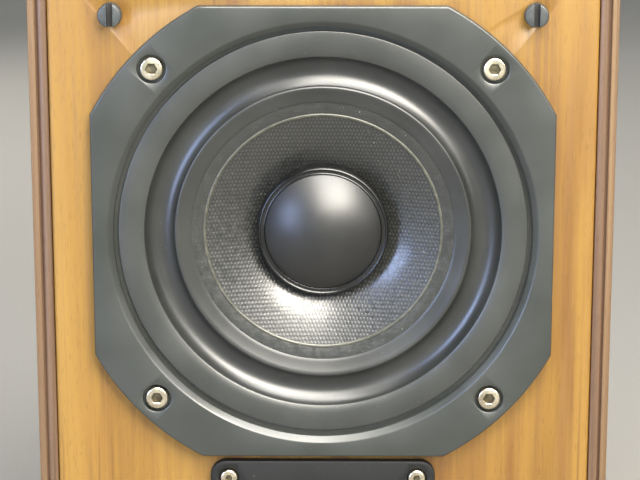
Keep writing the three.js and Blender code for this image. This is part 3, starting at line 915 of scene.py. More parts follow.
def make_piece(
    name: str,
    mesh: bpy.types.Mesh,
    finishes: Sequence[Finish],
    nodes: Sequence[str],
    body: Body | None = Body.CABINET,
) -> bpy.types.Object:
    """Put a mesh in the scene, in place of CAD nodes.

    Args:
        name: the piece's name.
        mesh: its mesh.
        finishes: its finishes, in the order of the mesh's material numbers.
        nodes: the CAD nodes that it stands for.
        body: the body that it rides on, or None for a piece that would bend between two, which is then left
            unattached.

    Returns:
        The piece.
    """
    made = bpy.data.objects.new(name, mesh)
    for finish in finishes:
        mesh.materials.append(finish.material())
    bpy.context.scene.collection.objects.link(made)
    if nodes:
        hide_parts(*nodes)
    if body:
        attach(made, body.value)
    return made


def flex(piece: bpy.types.Object, weight: Weight) -> None:
    """Work out how much of a moving part's movement each point of a round piece would follow, by the distance
    from the part's axis, after baking the piece's placement into its mesh; the shares are not stored, so the
    piece does not bend.

    Args:
        piece: the piece, with its final mesh.
        weight: how much of the movement a point follows, from 0 to 1.
    """
    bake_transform(piece)
    follow = [min(max(weight(vert.co / MM), 0.0), 1.0) for vert in piece.data.vertices]


def ease_edges(piece: bpy.types.Object, width: float) -> None:
    """Bevel a piece's sharp edges.

    Args:
        piece: the piece.
        width: the bevel's width in mm.
    """
    bevel = piece.modifiers.new("edges", "BEVEL")
    bevel.width, bevel.segments, bevel.limit_method, bevel.angle_limit = width * MM, 2, "ANGLE", 0.9


def eased(value: float) -> float:
    """Turn 0 to 1 into a curve that starts and ends gently."""
    t = min(max(value, 0.0), 1.0)
    return t * t * (3 - 2 * t)


def paint(mesh: bpy.types.Mesh, choose: Callable[[Vector], int]) -> None:
    """Choose each face's material number from its middle, in mm."""
    for face in mesh.polygons:
        face.material_index = choose(face.center / MM)


# ---- Assemblies ----
@dataclass
class Cabinet:
    """The mitred wood wrap, the front and back boards and the damping foam; the brace is left to the inside
    parts.
    """

    width: float = 215.0
    height: float = 350.0
    depth: float = 250.0
    wall: float = 15.0
    rim: float = 6.9
    groove_from: float = 2.7
    groove_width: float = 0.6
    groove_depth: float = 1.4
    bead_rise: float = 1.1
    front_board: float = 18.0
    back_board: float = 15.0
    front_edge: float = 1.3  # how far the front board's edge is rounded

    def section(self) -> list[tuple[float, float, int]]:
        """Draw a wrap panel's section.

        Returns:
            [distance in from the outer face, y, material number of the next edge] points, in mm.
        """
        front, back = -self.depth / 2, self.depth / 2
        g0, g1 = self.groove_from, self.groove_from + self.groove_width
        middle, half = (g1 + self.rim) / 2, (self.rim - g1) / 2
        points: list[tuple[float, float, int]] = [
            (0.0, front + 0.7, 0), (0.2, front + 0.2, 1), (0.7, front, 1), (g0 - 0.25, front, 1)
        ]
        # Material 4, the groove and the joint wall beside the front board, is the painted shade.
        points += [
            (g0, front + 0.25, 4), (g0, front + self.groove_depth, 4), (g1, front + self.groove_depth, 4)
        ]
        for i in range(13):
            a = math.pi * i / 12
            points.append((middle - half * math.cos(a), front + self.bead_rise * (1 - math.sin(a)), 2))
        points[-1] = (self.rim, front + self.bead_rise, 4)
        floor, ledge = front + self.front_board + GAP, back - self.back_board - GAP
        points += [(self.rim, floor, 3), (self.wall, floor, 3), (self.wall, ledge, 3), (self.rim, ledge, 3)]
        points += [(self.rim, back - 0.4, 1), (self.rim - 0.4, back, 1), (0.7, back, 1), (0.2, back - 0.2, 0)]
        return [*points, (0.0, back - 0.7, 0)]

    def wrap(self, length: float, stand: Callable[[float, float, float], Point]) -> bpy.types.Mesh:
        """Make one mitred panel of the wrap.

        Args:
            length: its outer length, in mm.
            stand: turns (along, in from the outer face) and the panel's length into x and z.

        Returns:
            The mesh.
        """
        shape = bmesh.new()
        section = self.section()
        rows: list[list[bmesh.types.BMVert]] = []
        for end in (-1, 1):
            row = []
            for inward, y, _ in section:
                x, z = stand(end * (length / 2 - GAP - inward), inward, length)
                row.append(shape.verts.new(Vector((x, y, z)) * MM))
            rows.append(row)
        count = len(section)
        for i, (_, _, look) in enumerate(section):
            j = (i + 1) % count
            shape.faces.new((rows[0][i], rows[0][j], rows[1][j], rows[1][i])).material_index = look
        for row in rows:
            shape.faces.new(row).material_index = 3
        return as_mesh("wrap", shape, 30.0)

    def board(self, near: float, far: float, front: float, back: float) -> bpy.types.Mesh:
        """Make a board that fills the wrap.

        Args:
            near: its front face along Y, in mm.
            far: its back face.
            front: how far its front edges are rounded.
            back: how far its back edges are rounded.

        Returns:
            The mesh.
        """
        inset = self.rim + GAP
        outline = rounded_rectangle(self.width / 2 - inset, self.height / 2 - inset, 0.6, 2)
        turns = [i * math.pi / 8 for i in range(5)]
        section = [(front * (1 - math.sin(a)), near + front * (1 - math.cos(a))) for a in turns]
        section += [(back * (1 - math.cos(a)), far - back * (1 - math.sin(a))) for a in turns]
        return Skin(0, 0, self.height / 2).follow(outline, section).mesh("board", loop=False, sharp=30.0)

    def build(self, woofer: Woofer, tweeter: Tweeter, rear: Rear, pegs: GrillePegs) -> list[bpy.types.Object]:
        """Make the cabinet with the holes that the other assemblies need.

        Args:
            woofer: the woofer.
            tweeter: the tweeter.
            rear: the port and the terminal cup.
            pegs: the grille pegs.

        Returns:
            The pieces.
        """
        w, h, front, back = self.width, self.height, -self.depth / 2, self.depth / 2
        panels = {
            "cabinet_bottom": (w, lambda along, inward, _: (along, inward)),
            "cabinet_top": (w, lambda along, inward, _: (along, h - inward)),
            "cabinet_left": (h, lambda along, inward, _: (inward - w / 2, h / 2 + along)),
            "cabinet_right": (h, lambda along, inward, _: (w / 2 - inward, h / 2 + along)),
        }
        pieces = []
        for name, (length, stand) in panels.items():
            upright = length == h
            looks = (SIDE_VENEER, EDGE_UP, BEAD_UP) if upright else (CROSS_VENEER, EDGE_ACROSS, BEAD_ACROSS)
            pieces.append(make_piece(name, self.wrap(length, stand), (*looks, BOARD, GROOVE_SHADE), [name]))

        holes = [drill(0, woofer.z, woofer.hole, front - 1, front + 30, sides=128)]
        holes.append(drill(0, tweeter.z, tweeter.hole, front - 1, front + 30, sides=96))
        holes += [
            drill(x, z, woofer.screw_hole, front - 1, front + 30, sides=16)
            for x, z in woofer.screw_places()
        ]
        holes += [drill(x, z, 1.9, front - 1, front + 30, sides=16) for x, z in tweeter.screw_places()]
        holes += [drill(x, z, 3.4, front, front + 30, 0.4, sides=24) for x, z in pegs.places()]
        baffle = carved(self.board(front, front + self.front_board, self.front_edge, 0.3), holes, 30.0)
        pieces.append(make_piece("front_baffle", baffle, [FRONT_VENEER], ["front_baffle"]))

        holes = [drill(0, rear.port_z, rear.port_outer + 3.3, back - 30, back + 1, sides=96)]
        tub = rounded_rectangle(rear.cup_half_width - 7.7, rear.cup_half_height - 7.7, 6.0)
        opening = Skin(0, 0, rear.cup_z).follow(tub, [(0, back - 30), (0, back + 1)])
        holes.append(opening.mesh("cutter", loop=False))
        holes += [drill(x, z, 1.8, back - 30, back + 1, sides=12) for x, z in rear.screw_places()]
        panel = carved(self.board(back - self.back_board, back, 0.3, 0.8), holes, 30.0)
        pieces.append(make_piece("back_panel", panel, [SIDE_VENEER], ["back_panel"]))
        pieces.append(self.foam())
        return pieces

    def foam(self) -> bpy.types.Object:
        """Make the foam pad under the top: flat where it is glued, and cut into pips below.

        Returns:
            The pad.
        """
        low, high, top, step = (-84.0, -60.0), (84.0, 100.0), self.height - self.wall - 0.6, 4.0
        across, deep = int((high[0] - low[0]) / step), int((high[1] - low[1]) / step)
        shape = bmesh.new()

        def layer(height: Callable[[float, float], float]) -> list[list[bmesh.types.BMVert]]:
            """Make one grid of points at the heights that the function gives."""
            grid = []
            for i in range(across + 1):
                grid.append([])
                for j in range(deep + 1):
                    x, y = low[0] + i * step, low[1] + j * step
                    grid[-1].append(shape.verts.new(Vector((x, y, height(x, y))) * MM))
            return grid

        def pips(x: float, y: float) -> float:
            """Return the height of the underside, with pips 32 mm apart."""
            edge = min(x - low[0], high[0] - x, y - low[1], high[1] - y)
            wave = math.cos(x * math.pi / 16) * math.cos(y * math.pi / 16)
            return top - 12.0 - 6.0 * wave * min(edge / 8, 1.0)

        upper, lower = layer(lambda x, y: top), layer(pips)
        for i in range(across):
            for j in range(deep):
                for grid in (upper, lower):
                    shape.faces.new((grid[i][j], grid[i + 1][j], grid[i + 1][j + 1], grid[i][j + 1]))
        rim = [(i, 0) for i in range(across)] + [(across, j) for j in range(deep)]
        rim += [(i, deep) for i in range(across, 0, -1)] + [(0, j) for j in range(deep, 0, -1)]
        for (i, j), (k, m) in zip(rim, rim[1:] + rim[:1]):
            shape.faces.new((upper[i][j], upper[k][m], lower[k][m], lower[i][j]))
        pad = make_piece("damping_foam", as_mesh("foam", shape, 60.0), [FOAM], ["damping_foam"])
        return pad


@dataclass
class SocketScrew:
    """A cap screw with a round-edged head and a hexagon socket, along Y."""

    head: float
    head_height: float
    shank: float
    length: float
    socket: float

    def build(self, name: str, x: float, y: float, z: float) -> bpy.types.Object:
        """Make one screw.

        Args:
            name: the piece's name and the CAD node's.
            x: its place across, in mm.
            y: the place of its head's front face.
            z: its height.

        Returns:
            The screw.
        """
        head, tall, shank = self.head, self.head_height, self.shank
        edge = 0.75
        turns = [i * math.pi / 10 for i in range(6)]
        crown = [(head - edge + edge * math.sin(a), edge * 0.8 * (1 - math.cos(a))) for a in turns]
        thread: list[Point] = []
        pitch = 0.7
        for i in range(int((self.length - 2) / pitch)):
            at = tall + 1 + i * pitch
            thread += [(shank, at), (shank - 0.3, at + pitch / 2)]
        tail = tall + self.length
        section = [(0.0, 0.0), *crown, (head, tall), (shank, tall), *thread, (shank - 0.5, tail), (0.0, tail)]
        mesh = Skin(x, y, z).turn(section, 48).mesh(name, loop=False, sharp=40.0)
        lip = 0.25
        deep = tall * 0.6
        hexagon = [
            (self.socket + lip + 1, -1.0 - lip), (self.socket + lip, 0.0), (self.socket, lip),
            (self.socket, deep)
        ]
        mesh = carved(mesh, [Skin(x, y, z).turn(hexagon, 6).mesh("cutter", loop=False)], 28.0)
        made = make_piece(name, mesh, [ZINC, SOCKET_ZINC_SHADE], [name])
        middle = Vector((x, y, z))

        def look(face: Vector) -> int:
            """Return 1 inside the socket, whose walls take the painted shade."""
            away = face - middle
            return int(math.hypot(away.x, away.z) < self.socket and away.y > 0.2 and away.y < deep + 0.1)

        paint(mesh, look)
        return made


@dataclass
class Woofer:
    """The woofer: moulded frame, rubber surround, woven cone, cap, screws and the parts behind them."""

    z: float = 240.0
    y: float = -130.2
    flat: float = 85.0
    arc: float = 96.3
    thickness: float = 3.9
    hole: float = 81.0
    screw_at: float = 62.2
    pocket: float = 5.25
    pocket_depth: float = 2.9
    screw_hole: float = 2.9
    edge: float = 0.7
    screw: SocketScrew = field(default_factory=lambda: SocketScrew(4.15, 2.6, 2.5, 20.0, 2.1))
    roll_middle: float = 60.0
    roll_depth: float = 2.2
    roll_radius: float = 6.6
    roll_from: float = 0.33  # the roll's arc, in radians
    roll_to: float = 2.36
    ridge: float = 44.0
    segments: int = 160

    def screw_places(self) -> list[Point]:
        """Return the screws' places, across and up."""
        return [(x * self.screw_at, self.z + z * self.screw_at) for x, z in CORNERS]

    def skin(self) -> Skin:
        """Return an empty skin on the woofer's axis, with depth 0 at the frame's front face."""
        return Skin(0.0, self.y, self.z)

    def radius(self, point: Vector) -> float:
        """Return a point's distance from the woofer's axis, in mm."""
        return math.hypot(point.x, point.z - self.z)

    def frame(self) -> bpy.types.Object:
        """Make the moulded frame: flange, seat for the surround, and basket with six windows.

        Returns:
            The frame.
        """
        outline = arc_cornered_square(self.flat, self.arc)
        e = self.edge
        turns = [i * math.pi / 10 for i in range(6)]
        rim = [(e * (1 - math.cos(a)), e * (1 - math.sin(a))) for a in turns]
        skin = self.skin().follow(outline, [(0.0, self.thickness), *rim])
        bowl = [
            (79.9, 0.0), (79.45, 0.12), (79.1, 0.42), (77.7, 1.45), (77.45, 1.75), (77.4, 2.2), (77.4, 5.3),
            (68.0, 5.3), (68.0, 8.0), (71.0, 12.0), (57.5, 32.0), (57.5, 34.0), (49.0, 34.0), (49.0, 37.0),
            (55.0, 37.0), (48.0, 49.5), (24.0, 49.5), (24.0, 52.5), (51.0, 52.5), (60.0, 36.0), (76.0, 12.0),
            (80.0, 8.0), (80.0, self.thickness),
        ]  # fmt: skip
        mesh = skin.fan(outline, bowl).mesh("frame", sharp=30.0)
        cutters = [
            drill(x, z, self.pocket, self.y, self.y + self.pocket_depth, 0.35) for x, z in self.screw_places()
        ]
        mesh = carved(mesh, cutters, 30.0)
        cutters = [
            drill(x, z, self.screw_hole, self.y + self.pocket_depth - 1, self.y + 6, sides=16)
            for x, z in self.screw_places()
        ]
        for i in range(6):
            window = block("window", (40, 14, -18), (100, 30, 18))
            turn = (i + 0.5) * math.pi / 3
            for vert in window.vertices:
                x, z = vert.co.x, vert.co.z
                vert.co.x = x * math.cos(turn) + z * math.sin(turn)
                vert.co.z = -x * math.sin(turn) + z * math.cos(turn) + self.z * MM
                vert.co.y += self.y * MM
            cutters.append(window)
        return make_piece("woofer_basket", carved(mesh, cutters, 30.0), [FRAME_PLASTIC], ["woofer_basket"])

    def roll(self, radius: float, start: float, end: float, steps: int) -> list[Point]:
        """Draw an arc of the surround's roll.

        Args:
            radius: the arc's radius, in mm.
            start: the angle at which it starts.
            end: the angle at which it ends.
            steps: how many edges it has.

        Returns:
            [radius, depth] points.
        """
        turns = [start + (end - start) * i / steps for i in range(steps + 1)]
        return [
            (self.roll_middle + radius * math.cos(a), self.roll_depth + radius * math.sin(a)) for a in turns
        ]

    def surround(self) -> bpy.types.Object:
        """Make the surround: flat ring, roll that dips inwards, and lip on the cone.

        Returns:
            The surround.
        """
        dip = self.roll(self.roll_radius, self.roll_from, self.roll_to, 26)
        section = [(75.7, 3.95), (75.55, 3.62), (75.15, 3.5), (69.0, 3.6), (66.7, 4.1), *dip]
        section += [
            (55.25, 6.2), (55.1, 5.75), (54.75, 5.45), (54.2, 5.42), (53.2, 5.75), (51.6, 6.25), (50.0, 6.62)
        ]
        section += [(49.1, 6.85), (48.8, 7.02), (48.8, 7.1)]
        section += [(54.1, 7.1), *self.roll(self.roll_radius + 1, 2.28, 0.4, 20), (67.5, 4.9), (75.7, 4.9)]
        mesh = self.skin().turn(section, self.segments).mesh("surround", sharp=40.0)
        zones = (self.roll_middle + 6.0, 55.2)
        paint(mesh, lambda face: sum(self.radius(face) < zone for zone in zones))
        # The flat ring and the lip take the lighter copies of the rubber: painted sheen.
        looks = [RING_RUBBER_SHEEN, ROLL_RUBBER, LIP_RUBBER_SHEEN]
        made = make_piece("woofer_surround", mesh, looks, ["woofer_surround"], None)
        # The roll would stay still at its outer foot and follow the cone fully at its inner foot; flex works
        # out these shares but does not apply them.
        flex(made, lambda point: eased((67.0 - self.radius(point)) / 11.5))
        return made

    def cone(self) -> list[bpy.types.Object]:
        """Make the cone, the ring and the dust cap.

        Returns:
            The three pieces.
        """
        r = self.ridge
        turns = [i * math.pi / 8 for i in range(9)]
        bead = [(r + 0.6 * math.cos(a), 8.2 - 0.12 * math.cos(a) - 0.35 * math.sin(a)) for a in turns]
        flare = smoothed([(r - 0.6, 8.42), (38.4, 9.9), (33.0, 11.7), (28.2, 13.8), (24.8, 15.6)], 7)
        section = [(53.8, 7.4), (48.8, 7.12), *bead, *flare, (22.3, 17.1), (19.8, 18.9)]
        section += [(19.8, 20.2), (25.5, 16.6), (33.7, 12.7), (44.0, 9.4), (49.2, 8.6), (53.8, 8.6)]
        mesh = self.skin().turn(section, self.segments).mesh("cone", sharp=50.0)

        def zone(face: Vector) -> int:
            """Return the zone: 0 woven, 1 coated, 2 bead of glue with its painted highlight."""
            away = self.radius(face)
            if abs(away - r) < 0.62 and face.y - self.y < 8.5:
                return 2
            return int(away > r)

        paint(mesh, zone)
        looks = [CONE_CLOTH, COATED_CLOTH, GLUE_BEAD_HIGHLIGHT]
        cone = make_piece("woofer_cone", mesh, looks, ["woofer_cone"], Body.WOOFER)
        section = softened(
            [(21.62, 9.05), (21.95, 8.45), (22.2, 8.6), (23.2, 8.6), (23.5, 8.3), (23.9, 8.45), (24.4, 9.4)]
            + [(24.4, 16.1), (21.62, 16.1)],
            0.16
        )
        mesh = self.skin().turn(section, 128).mesh("ring", sharp=40.0)
        ring = make_piece("dust_cap_ring", mesh, [RING_PLASTIC], ["dust_cap_ring"], Body.WOOFER)

        base, edge, rise, thick = 21.6, 9.0, 7.4, 0.8
        ball = (base**2 + rise**2) / (2 * rise)
        half = math.asin(base / ball)
        front = [
            (ball * math.sin(half * i / 28), edge + ball - rise - ball * math.cos(half * i / 28))
            for i in range(29)
        ]
        inner = ball - thick
        back = [
            (inner * math.sin(half * i / 28), edge + ball - rise - inner * math.cos(half * i / 28))
            for i in range(29)
        ]
        mesh = self.skin().turn([*front, *back[::-1]], 128).mesh("cap", loop=False, sharp=50.0)
        cap = make_piece("dust_cap", mesh, [CAP_PLASTIC], ["dust_cap"], Body.WOOFER)
        return [cone, ring, cap]

    def spider(self) -> bpy.types.Object:
        """Make the spider: a cloth disc with round folds.

        Returns:
            The spider.
        """
        front: list[Point] = [(19.8, 32.0), (22.0, 32.0)]
        for i in range(49):
            fold = 24 + i * 0.5
            front.append((fold, 32.1 - 1.3 * math.cos((fold - 24) * math.pi / 4)))
        front += [(50.0, 33.0), (56.8, 33.0)]
        back = [(away, depth + 0.7) for away, depth in reversed(front)]
        mesh = self.skin().turn([*front, *back], 128).mesh("spider", sharp=60.0)
        made = make_piece("spider", mesh, [RESIN_CLOTH], ["spider"], None)
        # The outer rim, from 49 mm, is glued to the frame.
        flex(made, lambda point: eased((49.0 - self.radius(point)) / 26.0))
        return made

    def tinsel(self) -> list[bpy.types.Object]:
        """Make the two flexible leads from the terminal strip to the cone.

        Returns:
            The leads.
        """
        pieces = []
        for side, x in (("left", -6.0), ("right", 6.0)):
            route = [(36.8, -62.6), (32, -65.2), (27.5, -63.5), (24, -54), (22.5, -45), (13.6, -38)]
            points = [(x, self.y + u, self.z + v) for u, v in route]
            name = f"tinsel_lead_{side}"
            made = make_piece(name, rope(name, points, 0.7), [TINSEL], [name], None)
            # The lead would stay still at the terminal strip and follow the cone over its last 21 mm of
            # depth; flex works out these shares but does not apply them.
            flex(made, lambda point: eased((self.y + 37 - point.y) / 21.0))
            pieces.append(made)
        return pieces

    def build(self) -> list[bpy.types.Object]:
        """Make the woofer.

        Returns:
            The pieces.
        """
        pieces = [self.frame(), self.surround(), *self.cone(), self.spider(), *self.tinsel()]
        head = self.y + self.pocket_depth - self.screw.head_height - GAP
        for i, (x, z) in enumerate(self.screw_places()):
            pieces.append(self.screw.build(f"woofer_screw_{i + 1}", x, head, z))
        return pieces


@dataclass
class Tweeter:
    """The tweeter: moulded faceplate with a shallow flare, soft dome and screws."""

    z: float = 107.6
    y: float = -128.8
    half_width: float = 42.4
    half_height: float = 45.0
    corner: float = 5.75
    thickness: float = 3.5
    hole: float = 37.0
    screw_x: float = 35.5
    screw_z: float = 38.6
    pocket: float = 3.7
    pocket_depth: float = 1.2
    screw: SocketScrew = field(default_factory=lambda: SocketScrew(3.2, 2.2, 1.5, 16.0, 1.25))

    def screw_places(self) -> list[Point]:
        """Return the screws' places, across and up."""
        return [(x * self.screw_x, self.z + z * self.screw_z) for x, z in CORNERS]

    def faceplate(self) -> bpy.types.Object:
        """Make the faceplate.

        Returns:
            The faceplate.
        """
        outline = rounded_rectangle(self.half_width, self.half_height, self.corner, 16)
        rim = [(0.0, self.thickness), (0.0, 0.7), (0.1, 0.32), (0.32, 0.1), (0.7, 0.0)]
        flare = [
            (31.2, 0.0), (30.4, 0.08), (29.6, 0.22), (26.0, 1.05), (22.0, 1.95), (19.4, 2.65), (17.5, 3.2),
            (17.2, 3.5), (17.2, 5.5), (32.0, 5.5), (32.0, self.thickness),
        ]  # fmt: skip
        skin = Skin(0.0, self.y, self.z).follow(outline, rim).fan(outline, flare)
        mesh = skin.mesh("faceplate", sharp=30.0)
        pockets = [
            drill(x, z, self.pocket, self.y, self.y + self.pocket_depth, 0.3) for x, z in self.screw_places()
        ]
        mesh = carved(mesh, pockets, 30.0)
        holes = [drill(x, z, 1.9, self.y + 0.5, self.y + 6, sides=16) for x, z in self.screw_places()]
        return make_piece(
            "tweeter_faceplate", carved(mesh, holes, 30.0), [PLATE_PLASTIC], ["tweeter_faceplate"]
        )

    def dome(self) -> bpy.types.Object:
        """Make the soft dome with its small roll.

        Returns:
            The dome.
        """
        front = smoothed([(0.0, 0.9), (2.6, 1.05), (5.0, 1.6), (9.0, 3.0), (12.4, 5.4)], 8)
        roll = smoothed([(12.4, 5.4), (13.4, 4.5), (14.6, 4.2), (15.8, 4.6), (16.8, 5.8)], 5)
        back = smoothed([(16.6, 6.3), (15.7, 5.2), (14.6, 4.8), (13.6, 5.1), (12.7, 5.9)], 5)
        under = [(11.8, 5.9), (8.6, 3.5), (5.0, 2.1), (2.6, 1.6), (0.0, 1.4)]
        section = [*front, *roll[1:], (21.0, 5.8), (21.0, 6.3), *back, *under]
        mesh = Skin(0.0, self.y, self.z).turn(section, 96).mesh("dome", loop=False, sharp=60.0)
        made = make_piece("tweeter_dome", mesh, [DOME_CLOTH], ["tweeter_dome"], None)

        def follow(point: Vector) -> float:
            """Return how far a point of the dome moves with the coil."""
            return eased((16.6 - math.hypot(point.x, point.z - self.z)) / 3.6)

        flex(made, follow)
        return made

    def build(self) -> list[bpy.types.Object]:
        """Make the tweeter.

        Returns:
            The pieces.
        """
        pieces = [self.faceplate(), self.dome()]
        head = self.y + self.pocket_depth - self.screw.head_height - GAP
        for i, (x, z) in enumerate(self.screw_places()):
            pieces.append(self.screw.build(f"tweeter_screw_{i + 1}", x, head, z))
        return pieces


@dataclass
class GrillePegs:
    """Four round pegs with a slot, pressed into the front board."""

    x: float = 77.1
    top_z: float = 321.5
    bottom_z: float = 28.5
    y: float = -125.0
    radius: float = 4.4
    proud: float = 5.0
    shank: float = 3.0
    length: float = 11.0
    slot_width: float = 2.2
    slot_depth: float = 4.0

    def places(self) -> list[Point]:
        """Return the pegs' places, across and up."""
        return [(x * self.x, self.top_z if z > 0 else self.bottom_z) for x, z in CORNERS]

    def build(self) -> list[bpy.types.Object]:
        """Make the pegs.

        Returns:
            The pieces.
        """
        pieces = []
        r, tail = self.radius, self.proud + self.length
        section = [
            (0.0, 0.0), (r - 0.75, 0.0), (r - 0.35, 0.12), (r - 0.1, 0.4), (r, 0.8), (r, self.proud - 0.3),
            (self.shank, self.proud - 0.3), (self.shank, self.proud), (self.shank - 0.4, tail), (0.0, tail),
        ]  # fmt: skip
        for i, (x, z) in enumerate(self.places()):
            y = self.y - self.proud
            name = f"grille_peg_{i + 1}"
            body = Skin(x, y, z).turn(section, 56).mesh(name, loop=False, sharp=40.0)
            half, deep = self.slot_width / 2, self.slot_depth
            cut = block("slot", (x - half, y - 1, z - r - 1), (x + half, y + deep, z + r + 1))
            mesh = carved(body, [cut], 30.0)
            made = make_piece(name, mesh, [PEG_NYLON, PEG_SLOT_SHADE], [name])
            # The slot's walls get the near-black nylon: painted shade.
            paint(made.data, lambda face, x=x, y=y: int(abs(face.x - x) < half + 0.05 and face.y - y > 0.9))
            ease_edges(made, 0.18)
            pieces.append(made)
        return pieces


@dataclass
class Rear:
    """The reflex port and the terminal cup with its two binding posts."""

    back: float = 125.0
    port_z: float = 262.0
    port_inner: float = 22.0
    port_outer: float = 24.5
    port_flange: float = 33.0
    port_length: float = 105.0
    cup_z: float = 85.0
    cup_half_width: float = 45.0
    cup_half_height: float = 35.0
    cup_floor: float = -17.5  # the recess's floor, behind the back board's face
    post_x: float = 9.5
    post_base: float = 107.8
    stud: float = 2.2

    def screw_places(self) -> list[Point]:
        """Return the cup's screw places, across and up."""
        return [
            (x * (self.cup_half_width - 4), self.cup_z + z * (self.cup_half_height - 4)) for x, z in CORNERS
        ]

    def port(self) -> bpy.types.Object:
        """Make the port tube with its flared mouth.

        Returns:
            The port.
        """
        inner, outer, flange = self.port_inner, self.port_outer, self.port_flange
        rim = smoothed([(flange, 0.35), (flange - 0.25, 1.3), (flange - 1.3, 2.05), (flange - 3.5, 2.3)], 4)
        mouth = smoothed(
            [(flange - 3.5, 2.3), (28.0, 1.9), (25.6, 0.2), (23.9, -3.0), (22.7, -8.0), (inner, -14.0)], 6
        )
        section = [(inner, -self.port_length), (outer, -self.port_length), (outer, -17.0), (outer + 3, -14.0)]
        section += [(outer + 3, 0.3), *rim, *mouth[1:]]
        mesh = Skin(0.0, self.back, self.port_z).turn(section, 96).mesh("port", sharp=40.0)
        return make_piece("port_tube", mesh, [CUP_PLASTIC], ["port_tube"])

    def cup(self) -> list[bpy.types.Object]:
        """Make the cup and its screws.

        Returns:
            The pieces.
        """
        outline = rounded_rectangle(self.cup_half_width, self.cup_half_height, 8.0, 10)
        tub = rounded_rectangle(self.cup_half_width, self.cup_half_height, 14.0, 10)
        floor = self.cup_floor
        inside = [(30.0, floor), (12.6, floor), (11.6, floor + 0.3), (11.0, floor + 1.3), (10.3, 1.8)]
        rim = [(0.8, 2.8), (0.25, 2.55), (0.0, 2.0), (0.0, 0.3)]
        skin = Skin(0.0, self.back, self.cup_z).follow(tub, [*inside, (9.8, 2.5), (8.9, 2.8)])
        skin.follow(outline, rim).follow(tub, [(8.0, 0.3), (8.0, floor - 2.5)])
        mesh = skin.mesh("cup", loop=False, sharp=30.0)
        top = self.back + floor
        cutters = [drill(x * self.post_x, self.cup_z, 2.6, top - 5, top + 2, sides=24) for x in (-1, 1)]
        cutters += [drill(x, z, 1.8, self.back - 1, self.back + 5, sides=16) for x, z in self.screw_places()]
        pieces = [make_piece("terminal_cup", carved(mesh, cutters, 30.0), [CUP_PLASTIC], ["terminal_cup"])]
        for i, (x, z) in enumerate(self.screw_places()):
            pieces.append(self.screw(f"cup_screw_{i + 1}", x, z))
        return pieces

    def screw(self, name: str, x: float, z: float) -> bpy.types.Object:
        """Make one pan-head screw with a cross recess.

        Args:
            name: the piece's name and the CAD node's.
            x: its place across, in mm.
            z: its height.

        Returns:
            The screw.
        """
        seat = self.back + 3.1
        crown = smoothed([(0.0, 1.8), (1.6, 1.68), (2.7, 1.3), (3.25, 0.7), (3.4, 0.0)], 4)
        thread: list[Point] = []
        for i in range(12):
            thread += [(1.4, -1 - i), (1.1, -1.5 - i)]
        section = [*crown, (1.4, 0.0), *thread, (0.0, -14.0)]
        mesh = Skin(x, seat, z).turn(section, 40).mesh(name, loop=False, sharp=40.0)
        across = block("arm", (x - 1.7, seat + 0.8, z - 0.42), (x + 1.7, seat + 3, z + 0.42))
        up = block("arm", (x - 0.42, seat + 0.8, z - 1.7), (x + 0.42, seat + 3, z + 1.7))
        return make_piece(name, carved(carved(mesh, [across]), [up], 30.0), [ZINC], [name])

    def post(self, side: int, name: str, finish: Finish, clamp: Body, nut: Body) -> list[bpy.types.Object]:
        """Make one binding post.

        Args:
            side: -1 left or 1 right, seen from the front.
            name: the post's colour name.
            finish: its nut's finish.
            clamp: the body of its clamp washer.
            nut: the body of its nut.

        Returns:
            The stud, the washer and the nut.
        """
        x, base, stud = side * self.post_x, self.post_base, self.stud
        thread: list[Point] = []
        for i in range(33):
            thread += [(stud, 3.6 + 0.4 * i), (stud - 0.22, 3.8 + 0.4 * i)]
        section = [
            (0.0, -11.0), (stud - 0.3, -11.0), (stud, -10.6), (stud, 0.0), (4.7, 0.0), (5.0, 0.3), (5.0, 2.7)
        ]
        section += [(4.7, 3.0), (stud, 3.0), *thread, (stud - 0.4, 17.0), (0.0, 17.0)]
        mesh = Skin(x, base, self.cup_z).turn(section, 40).mesh("stud", loop=False, sharp=50.0)
        pieces = [make_piece(f"binding_post_{name}", mesh, [GOLD], [f"binding_post_{name}"])]
        section = softened([(stud + 0.4, 3.3), (4.8, 3.3), (4.8, 4.3), (stud + 0.4, 4.3)], 0.25)
        mesh = Skin(x, base, self.cup_z).turn(section, 48).mesh("washer", sharp=50.0)
        pieces.append(make_piece(f"clamp_washer_{name}", mesh, [GOLD], [f"clamp_washer_{name}"], clamp))
        outline = fluted(6.2, 12, 0.7)
        section = [(1.0, 4.6), (0.3, 4.9), (0.0, 5.6), (0.0, 12.6), (0.3, 13.7), (1.2, 14.4), (2.0, 14.6)]
        skin = Skin(x, base, self.cup_z).follow(outline, section)
        skin.fan(circle(3.4, 120), [(3.4, 14.6), (2.9, 14.4), (2.6, 14.0), (2.6, 4.6)])
        mesh = skin.mesh("nut", sharp=40.0)
        pieces.append(make_piece(f"thumb_nut_{name}", mesh, [finish], [f"thumb_nut_{name}"], nut))
        return pieces

    def build(self) -> list[bpy.types.Object]:
        """Make the back's fittings.

        Returns:
            The pieces.
        """
        red = self.post(-1, "red", RED_PLASTIC, Body.CLAMP_RED, Body.NUT_RED)
        black = self.post(1, "black", NUT_PLASTIC, Body.CLAMP_BLACK, Body.NUT_BLACK)
        return [self.port(), *self.cup(), *red, *black]


